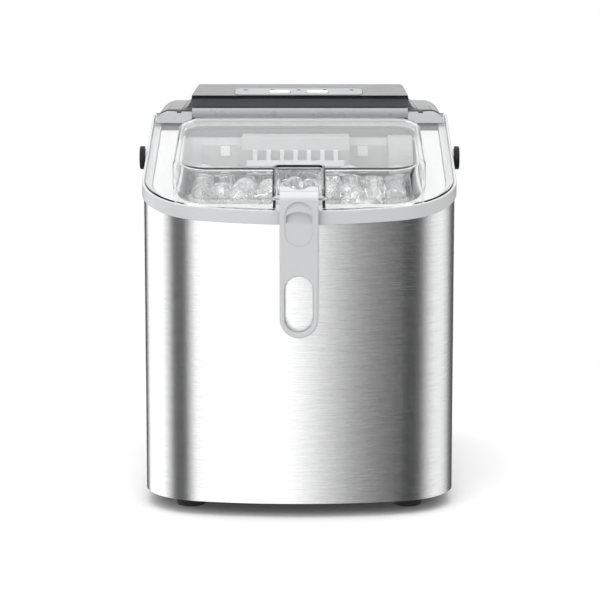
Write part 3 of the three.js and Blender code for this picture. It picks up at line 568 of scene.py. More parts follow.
fin_finish = moulded("mill_aluminium", (0.55, 0.56, 0.57), (0.7, 0.71, 0.72), 0.3, 0.5, 300, 0.01, 1.0)
enamel_finish = moulded("black_enamel", (0.01, 0.01, 0.011), (0.02, 0.02, 0.022), 0.2, 0.36, 200, 0.04)
foam_finish = moulded("cut_foam", (0.6, 0.55, 0.42), (0.78, 0.73, 0.6), 0.85, 1.0, 420, 0.25)
board_finish = moulded("circuit_board", (0.02, 0.13, 0.05), (0.03, 0.2, 0.08), 0.3, 0.5, 500, 0.03)
lens_finish = moulded("smoked_lens", (0.05, 0.055, 0.06), (0.08, 0.085, 0.09), 0.1, 0.2, 300, 0.004)
hose_finish = moulded("silicone_hose", (0.7, 0.74, 0.75), (0.82, 0.86, 0.87), 0.3, 0.45, 240, 0.01)
nickel_finish = moulded("nickel_plate", (0.55, 0.56, 0.57), (0.7, 0.71, 0.72), 0.15, 0.3, 300, 0.01, 1.0)
print(len(bpy.data.materials), "finishes so far")

# %% [markdown]
# ### Clear lid, basket and ice
# The lid is polished styrene: it bends light a little and mirrors a little. A solid glass shader
# would leave everything under it in the dark, because light that has been bent no longer finds the
# lamps. So rays that look for light pass straight through, by the Light Path node, as daylight does
# in the real room. The ice is the same idea with cloudy cores and a melted, wavy skin.

# %% Clear materials


def clear(name, tint, roughness, index, cloud=0.0, wave=0.0, wave_scale=90):
    """A see-through finish. Cloud is the share that is milky, wave the height of its ripples."""
    material = new_material(name, tint, roughness, IOR=index)
    principled(material).inputs["Transmission Weight"].default_value = 1 - cloud
    drift = stretched_noise(material, 40, detail=3)
    vary(material, drift, "Roughness", roughness * 0.6, roughness * 1.4)
    if wave:
        bump(material, stretched_noise(material, wave_scale, detail=2), wave, 0.6)
    shadow_tint = (*[channel ** 0.5 for channel in tint], 1)
    through = add(material, "ShaderNodeBsdfTransparent", inputs={"Color": shadow_tint})
    path = add(material, "ShaderNodeLightPath")
    mix = add(material, "ShaderNodeMixShader")
    link(
        material,
        (path, "Is Shadow Ray", mix, "Fac"),
        (principled(material), "BSDF", mix, 1),
        (through, "BSDF", mix, 2),
        (mix, "Shader", material.node_tree.nodes["Material Output"], "Surface"),
    )
    return material


lid_finish = clear("clear_styrene", (0.985, 0.99, 0.99), 0.015, 1.42)
# The frosted edge is mostly milky. Its dark grey is partly painted shade: it stands for the shaded cover and
# shelf behind it showing through.
frosted_shaded_finish = clear("frosted_styrene_painted_shade", (0.3, 0.305, 0.31), 0.3, 1.42, cloud=0.97)
basket_finish = clear("clear_basket", (0.96, 0.965, 0.97), 0.08, 1.45, cloud=0.06)
ice_finish = clear("clear_ice", (0.99, 0.992, 0.994), 0.02, 1.31, cloud=0.06, wave=0.3, wave_scale=110)

# %% [markdown]
# ## The steel drum
# One sheet is rolled round the front and both sides. It is drawn as its outline from above, raised,
# and sliced by the plane of the sloping rim, by the level seam behind and by the rear corners. The
# flat ends are deleted, and the wall that is left gets its thickness inwards.

# %% Steel wrap
steel = prism("steel_wrap_brushed", body_plan(), STEEL_BOTTOM, REAR_SEAM + 30)
slice_off(steel, place(0, 0, RIM_FRONT), RIM_UP)
slice_off(steel, place(0, 0, REAR_SEAM), (0, 0, 1))
slice_off(steel, place(0, WRAP_REAR, 0), (0, 1, 0))
edit(steel)
pick(steel, "FACE", lambda face: abs(face.normal.z) > 0.9 or face.normal.y > 0.9)
bpy.ops.mesh.delete(type="FACE")
done()
modifier(steel, "SOLIDIFY", thickness=1.2 * MM, offset=-1)
finish(steel, steel_finish, "cabinet", "brushed_steel", "steel_wrap")

# %% [markdown]
# ## Base and feet
# A black pan closes the drum from below; only its upper edge shows, as a thin dark line. Its floor
# stands well in from the drum, so that it stays in shadow, and four turned rubber feet lift it all
# off the table.

# %% Base pan and feet
pan_low, pan_high = (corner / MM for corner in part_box("base_pan"))
base = prism("base_pan_moulded", body_plan(1.6, DEPTH - 0.4), STEEL_BOTTOM - 0.7, pan_high.z)
join(base, prism("floor", body_plan(20, DEPTH + 10), pan_low.z, STEEL_BOTTOM))
round_edges(base, 0.3, 2)
finish(base, black_finish, "cabinet", "black_plastic", "base_pan")

for foot_name in ("foot_front_left", "foot_front_right", "foot_rear_left", "foot_rear_right"):
    low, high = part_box(foot_name)
    center = (low + high) / 2
    spot = (center.x / MM, (center.y - FRONT_Y) / MM, 0)
    profile = [(0, 0), (8.6, 0)] + arc((9.2, 0.9), 0.9, 270, 360, 4) + [(11.3, 4.6), (0, 4.6)]
    foot = spun(foot_name + "_turned", profile, spot, "Z", 40)
    finish(foot, rubber_finish, "cabinet", "black_rubber", foot_name)

# %% [markdown]
# ## Silver bezel
# The bezel caps the steel and carries the lid. It is a ring cut from two nested slabs of the body's
# own outline, with a ledge inside, and a round boss on each side where the carry handle turns.

# %% Bezel
bezel = slab("top_bezel_satin", body_plan(-BEZEL_PROUD), 0.3, BEZEL_TOP, RIM_END)
cut(bezel, prism("room", body_plan(0.5, 400), 100, 400))
round_edges(bezel, 0.7, 3)
ledge = slab("ledge", body_plan(0.45), 0.5, 5.8, RIM_END - 0.1)
cut(ledge, prism("room", body_plan(6, 400), 100, 400))
handle_pivot = pivot("handle_hinge")
bosses = []
for side in (-1, 1):
    profile = [(2.7, -1.6), (6.2, -1.6), (6.2, 0.9)] + arc((5.7, 0.9), 0.5, 0, 90, 3) + [(2.7, 1.4)]
    spot = (side * (HALF_WIDTH + 0.9), handle_pivot[1], handle_pivot[2])
    bosses.append(spun("boss", [(r, side * h) for r, h in profile], spot, "X", 40))
join(bezel, ledge, *bosses)
finish(bezel, silver_finish, "cabinet", "silver_trim", "top_bezel")

# %% [markdown]
# ## White inner frame
# Under the lid's clear edge lies a white deck with the opening to the ice. Its inner edge is rolled
# over softly, because a hand reaches past it.

# %% Inner frame
deck = slab("inner_frame_white", body_plan(6.3), 0.4, 5.6, 159.6)
cut(deck, prism("opening", rounded(86, 19, 200, 22, 1), 100, 400))
round_edges(deck, 1.1, 4)
finish(deck, deck_shaded_finish, "cabinet", "white_plastic", "inner_frame")

# %% [markdown]
# ## Ice room
# The liner is one deep tub with soft corners. It is raised as a solid, cut to the rim's slope and
# hollowed by a second solid whose lower edge is rounded first, so the floor runs up into the walls.

# %% Liner
tub = prism("inner_liner_tub", rounded(89, 16, 163, 25, 12, steps=12), 58, 330)
slice_off(tub, place(0, 0, RIM_FRONT - 0.1), RIM_UP)
hollow = prism("hollow", rounded(86.6, 18.4, 160.6, 22.6, 9.6, steps=12), 60.4, 360)
bevel_edges(hollow, lambda edge: middle(edge).z < 61 * MM, 8, 6)
cut(tub, hollow)
for side in (-1, 1):
    low_x, high_x = sorted((side * 76, side * 87.4))
    join(tub, box("rail", (low_x, 34, 97), (high_x, 100, 103.6)))
finish(tub, liner_finish, "cabinet", "liner_grey", "inner_liner")

# %% [markdown]
# ## Ice basket
# The basket hangs in the front of the tub. It is moulded in clear plastic, so that the ice shows.
# Its rim follows the slope of the lid, and it is cut down at the back so that ice can be pushed in.
# Slots in its floor let melt water drip back.

# %% Basket
basket = prism("ice_basket_milky", rounded(82.4, 23.1, 109.9, 18, 8, steps=10), 104, 330)
slice_off(basket, place(0, 0, RIM_FRONT - 3), RIM_UP)
inside = prism("inside", rounded(80.5, 25, 108, 16, 6, steps=10), 106, 360)
bevel_edges(inside, lambda edge: middle(edge).z < 106.5 * MM, 5, 5)
cut(basket, inside, box("low_back", (-62, 100, 168), (62, 130, 340)))
slots = [box("slot", (x - 4, 45, 90), (x + 4, 95, 120)) for x in range(-66, 67, 22)]
cut(basket, *slots)
round_edges(basket, 0.5, 2)
finish(basket, basket_finish, "ice_basket", "basket_clear", "ice_basket")

# %% [markdown]
# ## Bullet ice
# Water freezes round cold fingers, so each piece is a thick-walled thimble: a rounded nose and a deep
# dimple. One is modelled and copied, tumbled by seeded chance, and pushed apart until the heap rests
# inside the basket and under the lid.

# %% One bullet of ice
BULLET_RADIUS = 7.8
BULLET_LENGTH = 18.5
nose = arc((0, BULLET_LENGTH - BULLET_RADIUS), BULLET_RADIUS, 0, 90, 7)
dimple = [(2.8, 0.4), (2.4, 8)] + arc((0, 8.5), 2.2, 0, 90, 4)[1:]
bullet_profile = [(BULLET_RADIUS - 1.2, 0), (BULLET_RADIUS - 0.2, 1)] + nose + dimple[::-1]
bullet = spun("bullet", bullet_profile, (0, 0, 0), "Z", 20)
bullet.data.transform(Matrix.Translation(-place(0, 0, BULLET_LENGTH / 2)))
print("one bullet:", len(bullet.data.polygons), "faces")

# %% [markdown]
# ### The heap
# The bullets start in loose rows and push each other apart, a quarter of the overlap at a time. They
# are kept inside the basket, under the slope of the lid, and lower still under its notch, so that
# the basket can lift without the ice touching the lid.

# %% The heap
random.seed(11)
HEAP = {"half": 70, "near": 33, "far": 98, "low": 180}
HEAP_FRONT = 38
NOTCH_ROOM = {"half": 34, "far": 52, "drop": 11}
BULLET_GAP = 15.4
SETTLING_ROUNDS = 60


def heap_top(distance):
    """The greatest height of a bullet's middle at a distance behind the front."""
    return rim(distance) - 3 - 0.08 * (distance - HEAP["near"])


centers = []
for layer in range(3):
    for row in range(5):
        for column in range(10):
            x = -HEAP["half"] + column * 15.5 + random.uniform(-5, 5)
            distance = HEAP["near"] + row * 16 + random.uniform(-5, 5)
            z = heap_top(distance) - layer * 14 + random.uniform(-3, 3)
            centers.append(Vector((x, distance, z)))
for _ in range(SETTLING_ROUNDS):
    for first in range(len(centers)):
        for second in range(first + 1, len(centers)):
            apart = centers[second] - centers[first]
            overlap = BULLET_GAP - apart.length
            if overlap > 0:
                push = apart.normalized() * overlap * 0.25
                centers[first] -= push
                centers[second] += push
    for spot in centers:
        spot.x = max(-HEAP["half"], min(HEAP["half"], spot.x))
        spot.y = max(HEAP_FRONT, min(HEAP["far"], spot.y))
        under_notch = abs(spot.x) < NOTCH_ROOM["half"] and spot.y < NOTCH_ROOM["far"]
        top = heap_top(spot.y) - (NOTCH_ROOM["drop"] if under_notch else 0)
        spot.z = max(HEAP["low"], min(top, spot.z))
copies = []
for number, spot in enumerate(centers):
    copy = bullet.copy()
    copy.data = bullet.data.copy()
    copy.name = f"bullet_{number:02d}"
    bpy.context.scene.collection.objects.link(copy)
    heading = Matrix.Rotation(random.uniform(0, math.tau), 4, "Z")
    tumble = Matrix.Rotation(random.uniform(0.3, 2.8), 4, "X")
    growth = Matrix.Scale(random.uniform(0.92, 1.06), 4)
    copy.data.transform(Matrix.Translation(place(*spot)) @ heading @ tumble @ growth)
    copies.append(copy)
bpy.data.objects.remove(bullet)
heap = merge(copies)
heap.name = "bullet_ice"
finish(heap, ice_finish, "ice_basket", "basket_clear", angle=60)

# %% [markdown]
# ## Clear lid
# The lid is the hardest piece. A flat flange follows the bezel, a dome rises from it over the ice,
# and a block under its front edge holds the strap's hinge in a notch. The real one is moulded in one
# shot of clear styrene. Here it is an outer solid with a round-edged roof, cut level with the
# flange's underside, so that nothing hangs down into the basket.

# %% Lid, outer form
DOME_HALF = 90
DOME_FRONT = 20
DOME_REAR = 155
DOME_FRONT_Z = 245
DOME_REAR_Z = 271
DOME_SLOPE = (DOME_REAR_Z - DOME_FRONT_Z) / (DOME_REAR - DOME_FRONT)
dome_normal = Vector((0, -DOME_SLOPE, 1)).normalized()
NOTCH_HALF = 16.2
NOTCH_FAR = 31


def dome_z(distance, drop=0):
    """Height of the dome's sloping roof."""
    return DOME_FRONT_Z + DOME_SLOPE * (distance - DOME_FRONT) - drop


def dome_solid(name, shrink, drop, low, top_round):
    """A dome whose walls and roof are set in by a shrink and a drop."""
    near, far = DOME_FRONT + shrink, DOME_REAR - shrink
    plan = rounded(DOME_HALF - shrink, near, far, 26 - shrink, 20 - shrink, steps=12)
    solid = prism(name, plan, low, 330)
    slice_off(solid, place(0, DOME_FRONT, dome_z(DOME_FRONT, drop)), dome_normal)

    def on_roof(edge):
        heights = [abs(v.co.z / MM - dome_z((v.co.y - FRONT_Y) / MM, drop)) for v in edge.verts]
        return max(heights) < 0.3

    return bevel_edges(solid, on_roof, top_round, 6)


lid_plan = body_plan(1.1, 195, 2, steps=18)
lid = slab("lid_clear", lid_plan, LID_TOP - LID_THICK, LID_TOP, LID_REAR)
skirt = slab("skirt", body_plan(1.15, 196, 2, steps=18), 6.4, LID_TOP - 1, 170)
cut(skirt, prism("room", body_plan(3.3, 400, 2, steps=18), 100, 400))
join(lid, skirt)
flange_under = place(0, 0, RIM_FRONT + LID_TOP - LID_THICK)
dome = dome_solid("dome", 0, 0, 190, 4.5)
join(lid, slice_off(dome, flange_under + Vector((0, 0, 0.2 * MM)), -RIM_UP))

# %% [markdown]
# ### Where lid and rear cover meet
# The lid's rear corners slope down along the cover's shoulders. So the cover's outline from the front
# is drawn first: a plateau, a hollow curve down from it, a shoulder and a rounded outer edge.

# %% Outline of the rear cover from the front, which the lid follows
PLATEAU_SLOPE = 0.075
SHOULDER_Z = 273.5


def plateau_z(distance):
    """Height of the cover's plateau."""
    return 284 + PLATEAU_SLOPE * (distance - 190)


def cover_section(name, inset, near=150, far=300):
    """All that lies under the cover's outline from the front."""
    half = [(0, 330), (78.5 - inset, 330), (78.5 - inset, 290 - inset), (83 - inset, 284 - inset)]
    for step in range(1, 9):
        turn = step / 8 * math.pi / 2
        fall = (284 - SHOULDER_Z) * math.sin(turn)
        half.append((91 - 8 * math.cos(turn) - inset, 284 - fall - inset))
    for step in range(11):
        turn = step / 10 * math.pi / 2
        rise = (SHOULDER_Z - 262 - inset) * math.cos(turn)
        half.append((99 + (12 - inset) * math.sin(turn), 262 + rise))
    half += [(HALF_WIDTH - inset, 240)]
    left = [(-x, z) for x, z in reversed(half[1:])]
    return prism(name, left + half, near, far, "Y")


# %% [markdown]
# ### Hollow, notch and hinge edge
# A smaller dome with its own round edges hollows the lid, so that the wall has an even thickness that
# light can bend through. The rear edge is frosted on the real lid, to hide the hinge: a bar about
# the hinge line in the middle, and two wings that slope down along the cover's shoulders.

# %% Cheeks, hollow, notch and hinge edge
cheek_side = [(2.6, 214), (46, 222), (46, dome_z(46, 1)), (DOME_FRONT + 4, dome_z(DOME_FRONT + 4, 1)),
              (16, 242), (9, 236), (4, 230), (2.6, 226)]
cheeks = prism("cheeks", cheek_side, -(NOTCH_HALF + 2.2), NOTCH_HALF + 2.2, "X")
slice_off(cheeks, place(0, 0, RIM_FRONT + LID_TOP - 2), -RIM_UP)
join(lid, cheeks)
room = dome_solid("room", 2.4, 2.4, 190, 3)
keep = prism("keep", rounded(NOTCH_HALF + 2.2, 0, NOTCH_FAR + 2.2, 1, 4), 150, 350)
cut(room, slice_off(keep, flange_under, -RIM_UP))
cut(lid, room)
notch = prism("notch", rounded(NOTCH_HALF, -5, NOTCH_FAR, 0.5, 3), 150, 350)
slice_off(notch, place(0, 0, RIM_FRONT + LID_TOP - 1.4), -RIM_UP)
cut(lid, notch)
lid_pivot = pivot("lid_hinge")
BAND_RADIUS = 5
LUG_X = 92.1
front_y, pin_z = lid_pivot[1] - BAND_RADIUS, lid_pivot[2]
band_side = [(front_y, 255), (front_y, pin_z)] + arc((lid_pivot[1], pin_z), BAND_RADIUS, 180, 60, 12)
band_side += [(LID_REAR, pin_z + 2), (LID_REAR, 255)]
band = prism("lid_band_frosted", band_side, -82.2, 82.2, "X")
wing_side = [(165, 255), (165, 265.2), (170, 267.6), (175, 270), (181, pin_z + 2.3)]
wing_side += [(LID_REAR, pin_z + 2.3), (LID_REAR, 255)]
for side in (-1, 1):
    wing = prism("wing", wing_side, *sorted((side * 82.1, side * 110)), "X")
    common(wing, cover_section("wing_room", 0.9, 160, 190))
    low_x = side * LUG_X - 1.7
    cut(wing, box("lug_room", (low_x, front_y + 1.7, 261), (low_x + 3.4, 196, 290)))
    join(band, wing)
slice_off(band, place(0, 0, RIM_FRONT + LID_TOP - 0.05), -RIM_UP)
cut(band, rod("pin_bore", 2.3, -94, 94, lid_pivot, "X", 20))
strap_pivot = pivot("strap_hinge")
cut(lid, rod("bore", 1.9, -30, 30, strap_pivot, "X", 20))
clean(lid)
finish(lid, lid_finish, "lid", "clear_lid", "lid")
finish(band, frosted_shaded_finish, "lid", "clear_lid", "lid")

# %% [markdown]
# ## Rear cover
# A single dark moulding with a raised plateau for the controls and two lower shoulders. It is the
# common part of three prisms: the body's plan, the outline seen from the front and the outline seen
# from the side, where a deep cove under the plateau's front edge stays in shadow. A shelf under the
# lid and two slim lugs with eyes for the lid's pins are joined on.

# %% Rear cover
CREST_Y = 249  # where the plateau starts to round down to the rear


def cover_profile(name, inset):
    """All that lies within the cover's outline from the side."""
    front = 187.6 + inset
    outline = [(front, 230), (front, 272.6)]
    if inset == 0:
        cove = arc((0, 0), 1, -90, 0, 10)
        outline += [(front + 0.3 + 6.4 * u, 281 + 7.8 * v) for u, v in cove]
        outline += [(193.6, 282.3), (191.6, 283.3), (front + 2.2, 284)]
    else:
        outline += [(front + 7, 275), (front + 7, 281)]
    crest = plateau_z(CREST_Y) - inset
    outline += [(CREST_Y, crest)]
    for step in range(1, 15):
        turn = math.radians(step / 15 * 90)
        back = CREST_Y + (DEPTH - CREST_Y - inset) * math.sin(turn)
        outline.append((back, 264 + (crest - 264) * math.cos(turn)))
    outline += [(DEPTH - inset, 264), (DEPTH - inset, 230)]
    return prism(name, outline, -130, 130, "X")


def cover_solid(name, inset, low):
    """The cover's form, or with an inset the room inside it."""
    solid = prism(name, body_plan(inset), low, 330)
    return common(solid, cover_section("section", inset), cover_profile("profile", inset))


cover = cover_solid("rear_cover_dark", 0, REAR_SEAM + 0.3)
round_edges(cover, 0.8, 3, 40)
cut(cover, cover_solid("cavity", 2.4, REAR_SEAM - 5))
shelf = slab("shelf", body_plan(6.35), 0.5, 4.4, 188.2)
slice_off(shelf, place(0, 160.3, 0), (0, -1, 0))
join(cover, shelf)
for side in (-1, 1):
    low_x = side * LUG_X - 1.6
    lug = box("neck", (low_x, lid_pivot[1] - 2.4, 261), (low_x + 3.2, 190, lid_pivot[2] + 2.4))
    eye = [(0, low_x), (2.8, low_x), (3, low_x + 0.2)]
    eye += [(3, low_x + 3), (2.8, low_x + 3.2), (0, low_x + 3.2)]
    join(cover, join(lug, spun("eye", eye, lid_pivot, "X", 40)))
cut(cover, rod("pin_room", 2.3, -105, 105, lid_pivot, "X", 20))

# %% [markdown]
# ### Control strip
# A thin silver plate lies in a recess of the plateau, tilted with it. Two buttons and five small
# lights come up through it from below. The plate, the recess and the holes share one outline each.

# %% Strip, buttons and lights
STRIP = {"half": 49, "near": 192.5, "far": 223.5, "x": -1}
BUTTON_Y = 203
LIGHT_Y = 215.5
LIGHT_X = [-42, -21.5, -1, 19.5, 40]
BUTTONS = ("button_power", "button_select")
strip_normal = Vector((0, -PLATEAU_SLOPE, 1)).normalized()


def button_x(name):
    """Where a button's middle is, across."""
    low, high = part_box(name)
    return (low.x + high.x) / 2 / MM


def strip_layer(name, grow, low, high):
    """The strip's outline, grown, between two heights above the plateau."""
    near, far = STRIP["near"] - grow, STRIP["far"] + grow
    plan = rounded(STRIP["half"] + grow, near, far, 6 + grow, center=STRIP["x"])
    layer = prism(name, plan, 250, 320)
    slice_off(layer, place(0, 190, plateau_z(190) + high), strip_normal)
    return slice_off(layer, place(0, 190, plateau_z(190) + low), -strip_normal)


def key(name, half, half_depth, corner, low, high, x):
    """A rounded block about a button's middle."""
    plan = rounded(half, BUTTON_Y - half_depth, BUTTON_Y + half_depth, corner, center=x)
    return prism(name, plan, low, high)


def control_holes():
    """What is cut away for the buttons and the lights."""
    holes = [key("hole", 8.4, 4.4, 2.4, 250, 320, button_x(name)) for name in BUTTONS]
    return holes + [rod("hole", 1.9, 250, 320, (x, LIGHT_Y, 0), "Z", 20) for x in LIGHT_X]


cut(cover, strip_layer("recess", 0.3, -1.4, 40), *control_holes())
finish(cover, cover_finish, "cabinet", "grey_cover", "rear_top_cover")
strip = cut(strip_layer("control_strip_silver", 0, -1.1, 0.5), *control_holes())
round_edges(strip, 0.25, 2)
finish(strip, strip_shaded_finish, "cabinet", "silver_trim", "control_strip")
for name in BUTTONS:
    x = button_x(name)
    cap = key(name + "_cap", 8, 4, 2.1, 281, 320, x)
    slice_off(cap, place(0, 190, plateau_z(190) + 1.5), strip_normal)
    round_edges(cap, 0.5, 3)
    join(cap, key("collar", 9.4, 5.4, 2, 279.3, 281.2, x))
    join(cap, rod("stem", 2, 275, 279.6, (x, BUTTON_Y, 0), "Z", 24))
    finish(cap, white_finish, name, "white_plastic", name)
light_bar = box("indicator_bar", (-46, LIGHT_Y - 2.5, 279.5), (44, LIGHT_Y + 2.5, 281.5))
top = plateau_z(LIGHT_Y) + 0.9
profile = [(0, 281), (1.6, 281), (1.6, top - 0.6)] + arc((1.0, top - 0.6), 0.6, 0, 90, 3) + [(0, top)]
for x in LIGHT_X:
    join(light_bar, spun("post", profile, (x, LIGHT_Y, 0), "Z", 20))
finish(light_bar, lens_finish, "cabinet", "lens", "indicator_light_bar")

# %% [markdown]
# ## Pull strap
# A flat silver-grey tab with a knuckle in the lid's notch, a thumb recess below it, and a stadium-
# shaped hole at the round lower end. It is drawn from the front, given its thickness, and its rims
# are rounded before the recess is cut, so that the recess's edge stays crisp. The recess is a shallow
# dish, a ramp that deepens upwards and an arched scoop at its top for the nail.

# %% Strap
strap_low, strap_high = (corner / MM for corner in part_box("pull_strap"))
STRAP_HALF = strap_high.x
STRAP_BOTTOM = strap_low.z
STRAP_FACE = -8
STRAP_BACK = -2.2
hole_low = STRAP_BOTTOM + STRAP_HALF
HOLE_HALF = 9.9
face_outline = arc((0, hole_low), STRAP_HALF, 180, 360, 24) + [(STRAP_HALF, 227), (-STRAP_HALF, 227)]
strap = prism("pull_strap_silver", face_outline, STRAP_FACE, STRAP_BACK, "Y")
stadium = arc((0, hole_low), HOLE_HALF, 180, 360, 20) + arc((0, hole_low + 20), HOLE_HALF, 0, 180, 20)
cut(strap, prism("finger_hole", stadium, -20, 10, "Y"))
round_edges(strap, 1.1, 4)
head_side = [(STRAP_BACK, 221), (STRAP_FACE, 221), (STRAP_FACE, 226.5), (-7.4, 228.2), (-5.6, 229.6)]
head_side += [(12, 234), (12, 231.2), (8.4, 226)]
head = prism("head", head_side, -STRAP_HALF, STRAP_HALF, "X")
round_edges(head, 0.5, 3, 25)
knuckle = [(0, -STRAP_HALF), (3.9, -STRAP_HALF), (4.2, -STRAP_HALF + 0.3)]
knuckle += [(4.2, STRAP_HALF - 0.3), (3.9, STRAP_HALF), (0, STRAP_HALF)]
join(head, spun("knuckle", knuckle, strap_pivot, "X", 32))
cut(head, rod("bore", 1.9, -30, 30, strap_pivot, "X", 20))
cut(head, box("groove", (-20, 1.7, 230.8), (20, 2.4, 240)))
cut(head, spun("nail_notch", [(0, 4), (14.2, 4), (14.2, 20), (0, 20)], (0, 0, 246), "Y", 64))
join(strap, head)
dish = arc((0, 204), HOLE_HALF, 180, 360, 20) + arc((0, 215.6), HOLE_HALF, 0, 180, 20)
cut(strap, prism("shallow", dish, -12, STRAP_FACE + 0.7, "Y"))
ramp = prism("ramp", dish, -12, STRAP_FACE + 1.8, "Y")
common(ramp, prism("ramp_side", [(-12, 217.5), (-7.4, 217.5), (-6.2, 226), (-12, 226)], -12, 12, "X"))
arch = arc((0, 203.4), 15.1, 54, 126, 20)
scoop = prism("scoop", arch + [(-8.9, 208), (8.9, 208)], -20, 0, "Y")
common(scoop, rod("roller", 5.2, -12, 12, (0, -9.5, 214.8), "X", 48))
cut(strap, ramp, scoop)
finish(strap, strap_finish, "pull_strap", "strap_silver", "pull_strap")

# %% [markdown]
# ## Carry handle
# A black bow folded down behind the machine: flat arms, round hubs on the bezel's bosses and a soft
# grip on the crossbar. It is drawn level and pointing back from its pivot, then tilted to its stop.

# %% Handle and grip
ARM_INNER = 113.6
ARM_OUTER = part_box("carry_handle")[1].x / MM
DROP = math.radians(8)
REACH = 187.887
BEND = 30
reach_y = handle_pivot[1] + REACH
outer_turn = BEND + ARM_OUTER - ARM_INNER - 1.7
bow_outline = (
    arc((-ARM_INNER + BEND, reach_y - BEND - 4), BEND, 180, 90, 12)
    + arc((ARM_INNER - BEND, reach_y - BEND - 4), BEND, 90, 0, 12)
    + [(ARM_INNER, handle_pivot[1]), (ARM_OUTER, handle_pivot[1])]
    + arc((ARM_OUTER - outer_turn, reach_y + 4 - outer_turn), outer_turn, 0, 90, 12)
    + arc((-ARM_OUTER + outer_turn, reach_y + 4 - outer_turn), outer_turn, 90, 180, 12)
    + [(-ARM_OUTER, handle_pivot[1]), (-ARM_INNER, handle_pivot[1])]
)
bow = prism("carry_handle_black", bow_outline, handle_pivot[2] - 5, handle_pivot[2] + 5)
round_edges(bow, 1.2, 4, 60)
for side in (-1, 1):
    width = ARM_OUTER - ARM_INNER
    profile = [(2.75, 0), (8.2, 0), (8.6, 0.4), (8.6, width - 1.1)]
    profile += arc((7.5, width - 1.1), 1.1, 0, 90, 5)[1:]
    profile += [(5.2, width), (4.9, width - 0.5), (2.75, width - 0.5)]
    spot = (side * ARM_INNER, handle_pivot[1], handle_pivot[2])
    join(bow, spun("hub", [(r, side * h) for r, h in profile], spot, "X", 48))
    cut(bow, rod("bore", 2.75, -9, 9, spot, "X", 24))
GRIP_HALF = 62
GROOVE_STEP = 5.4
grip_profile = [(3.8, -GRIP_HALF)] + arc((4.4, -GRIP_HALF + 1.5), 1.5, 270, 360, 3)
for groove in range(-10, 11):
    at = groove * GROOVE_STEP
    grip_profile += [(5.95, at - 1.6), (5.3, at - 1.1), (5.3, at + 1.1), (5.95, at + 1.6)]
grip_profile += arc((4.4, GRIP_HALF - 1.5), 1.5, 0, 90, 3) + [(3.8, GRIP_HALF)]
grip = spun("handle_grip_soft", grip_profile, (0, reach_y, handle_pivot[2]), "X", 40)
tilt_point = place(*handle_pivot)
tilt = Matrix.Translation(tilt_point) @ Matrix.Rotation(-DROP, 4, "X") @ Matrix.Translation(-tilt_point)
bow.data.transform(tilt)
grip.data.transform(tilt)
finish(bow, black_finish, "carry_handle", "black_plastic", "carry_handle")
finish(grip, rubber_finish, "carry_handle", "black_rubber", "handle_grip")

# %% [markdown]
# ## Rear panel, inlet, drain cap and screws
# The back is a powder-coated plate bent round the rear corners, slotted where the fan blows out. The
# slots are cut at once by one comb of bars, and two holes let the inlet and the drain through.

# %% Rear panel
panel = prism("rear_panel_coated", body_plan(), STEEL_BOTTOM, REAR_SEAM)
slice_off(panel, place(0, WRAP_REAR + 0.3, 0), (0, -1, 0))
cut(panel, prism("inner", body_plan(1.5), 0, 300))
SLOT_RADIUS = 1.8
SPOUT = (-80, 0, 30)
bars = []
for row in range(13):
    for x in (-78, -14):
        z = 52 + row * 7.6 + SLOT_RADIUS
        ends = (x + SLOT_RADIUS, z), (x + 56 - SLOT_RADIUS, z)
        outline = arc(ends[0], SLOT_RADIUS, 90, 270, 6) + arc(ends[1], SLOT_RADIUS, -90, 90, 6)
        bars.append(prism("bar", outline, 270, 300, "Y"))
cut(panel, merge(bars), box("inlet_hole", (56, 270, 30), (88, 300, 54)))
cut(panel, rod("spout_hole", 7.3, 260, 300, SPOUT, "Y", 32))
finish(panel, panel_finish, "cabinet", "rear_grey", "rear_panel")

# %% [markdown]
# ### Inlet, drain cap and screws
# The inlet is a moulded socket with three blades in a six-sided mouth. The drain cap is a soft plug
# with a gripping edge. Four screws with crossed slots hold the panel.

# %% Inlet, cap and screws
inlet = prism("power_inlet_black", [(54, 28), (90, 28), (90, 56), (54, 56)], 285.4, 287.6, "Y")
round_edges(inlet, 0.6, 3)
join(inlet, box("body", (58, 264, 31.5), (86, 286, 52.5)))
mouth = [(60.5, 34), (83.5, 34), (83.5, 45.5), (79, 50), (65, 50), (60.5, 45.5)]
cut(inlet, prism("mouth", mouth, 270, 300, "Y"))
for step in (-1, 0, 1):
    height = 41 + (1.4 if step == 0 else 0)
    x = 72 + step * 7
    join(inlet, box("blade", (x - 1, 269, height - 2), (x + 1, 282, height + 2)))
finish(inlet, black_finish, "cabinet", "black_plastic", "power_inlet")
cap_profile = [(0, 278), (4.2, 278), (4.2, 288.2), (8.3, 288.2)]
cap_profile += arc((8.2, 289), 0.8, 270, 360, 3) + arc((8.0, 291), 1, 0, 90, 4)
cap_profile += [(3, 292), (2.4, 291.2), (0, 291.2)]
cap = spun("drain_cap_soft", cap_profile, SPOUT, "Y", 40)
finish(cap, rubber_finish, "drain_cap", "black_rubber", "drain_cap")
for name in ("upper_left", "upper_right", "lower_left", "lower_right"):
    node = "screw_rear_" + name
    low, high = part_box(node)
    center = (low + high) / 2 / MM
    near = (low.y - FRONT_Y) / MM
    profile = [(0, 0.05), (3.1, 0.05), (3.1, 0.7)] + arc((2.2, 0.7), 0.9, 0, 90, 4)[1:] + [(0, 1.9)]
    head = spun(node + "_head", profile, (center.x, near, center.z), "Y", 32)
    for across, up in ((2.2, 0.4), (0.4, 2.2)):
        low_corner = (center.x - across, near + 1, center.z - up)
        cut(head, box("slot", low_corner, (center.x + across, near + 4, center.z + up)))
    finish(head, pin_finish, "cabinet", "pin_steel", node)

# %% [markdown]
# ## The machinery that keeps its own shape
# Compressor, pipes, motors, tray and comb come from the frame as they are. Their meshes are loose
# triangles, so live modifiers weld them, melt the flat faces together and break the sharp edges.

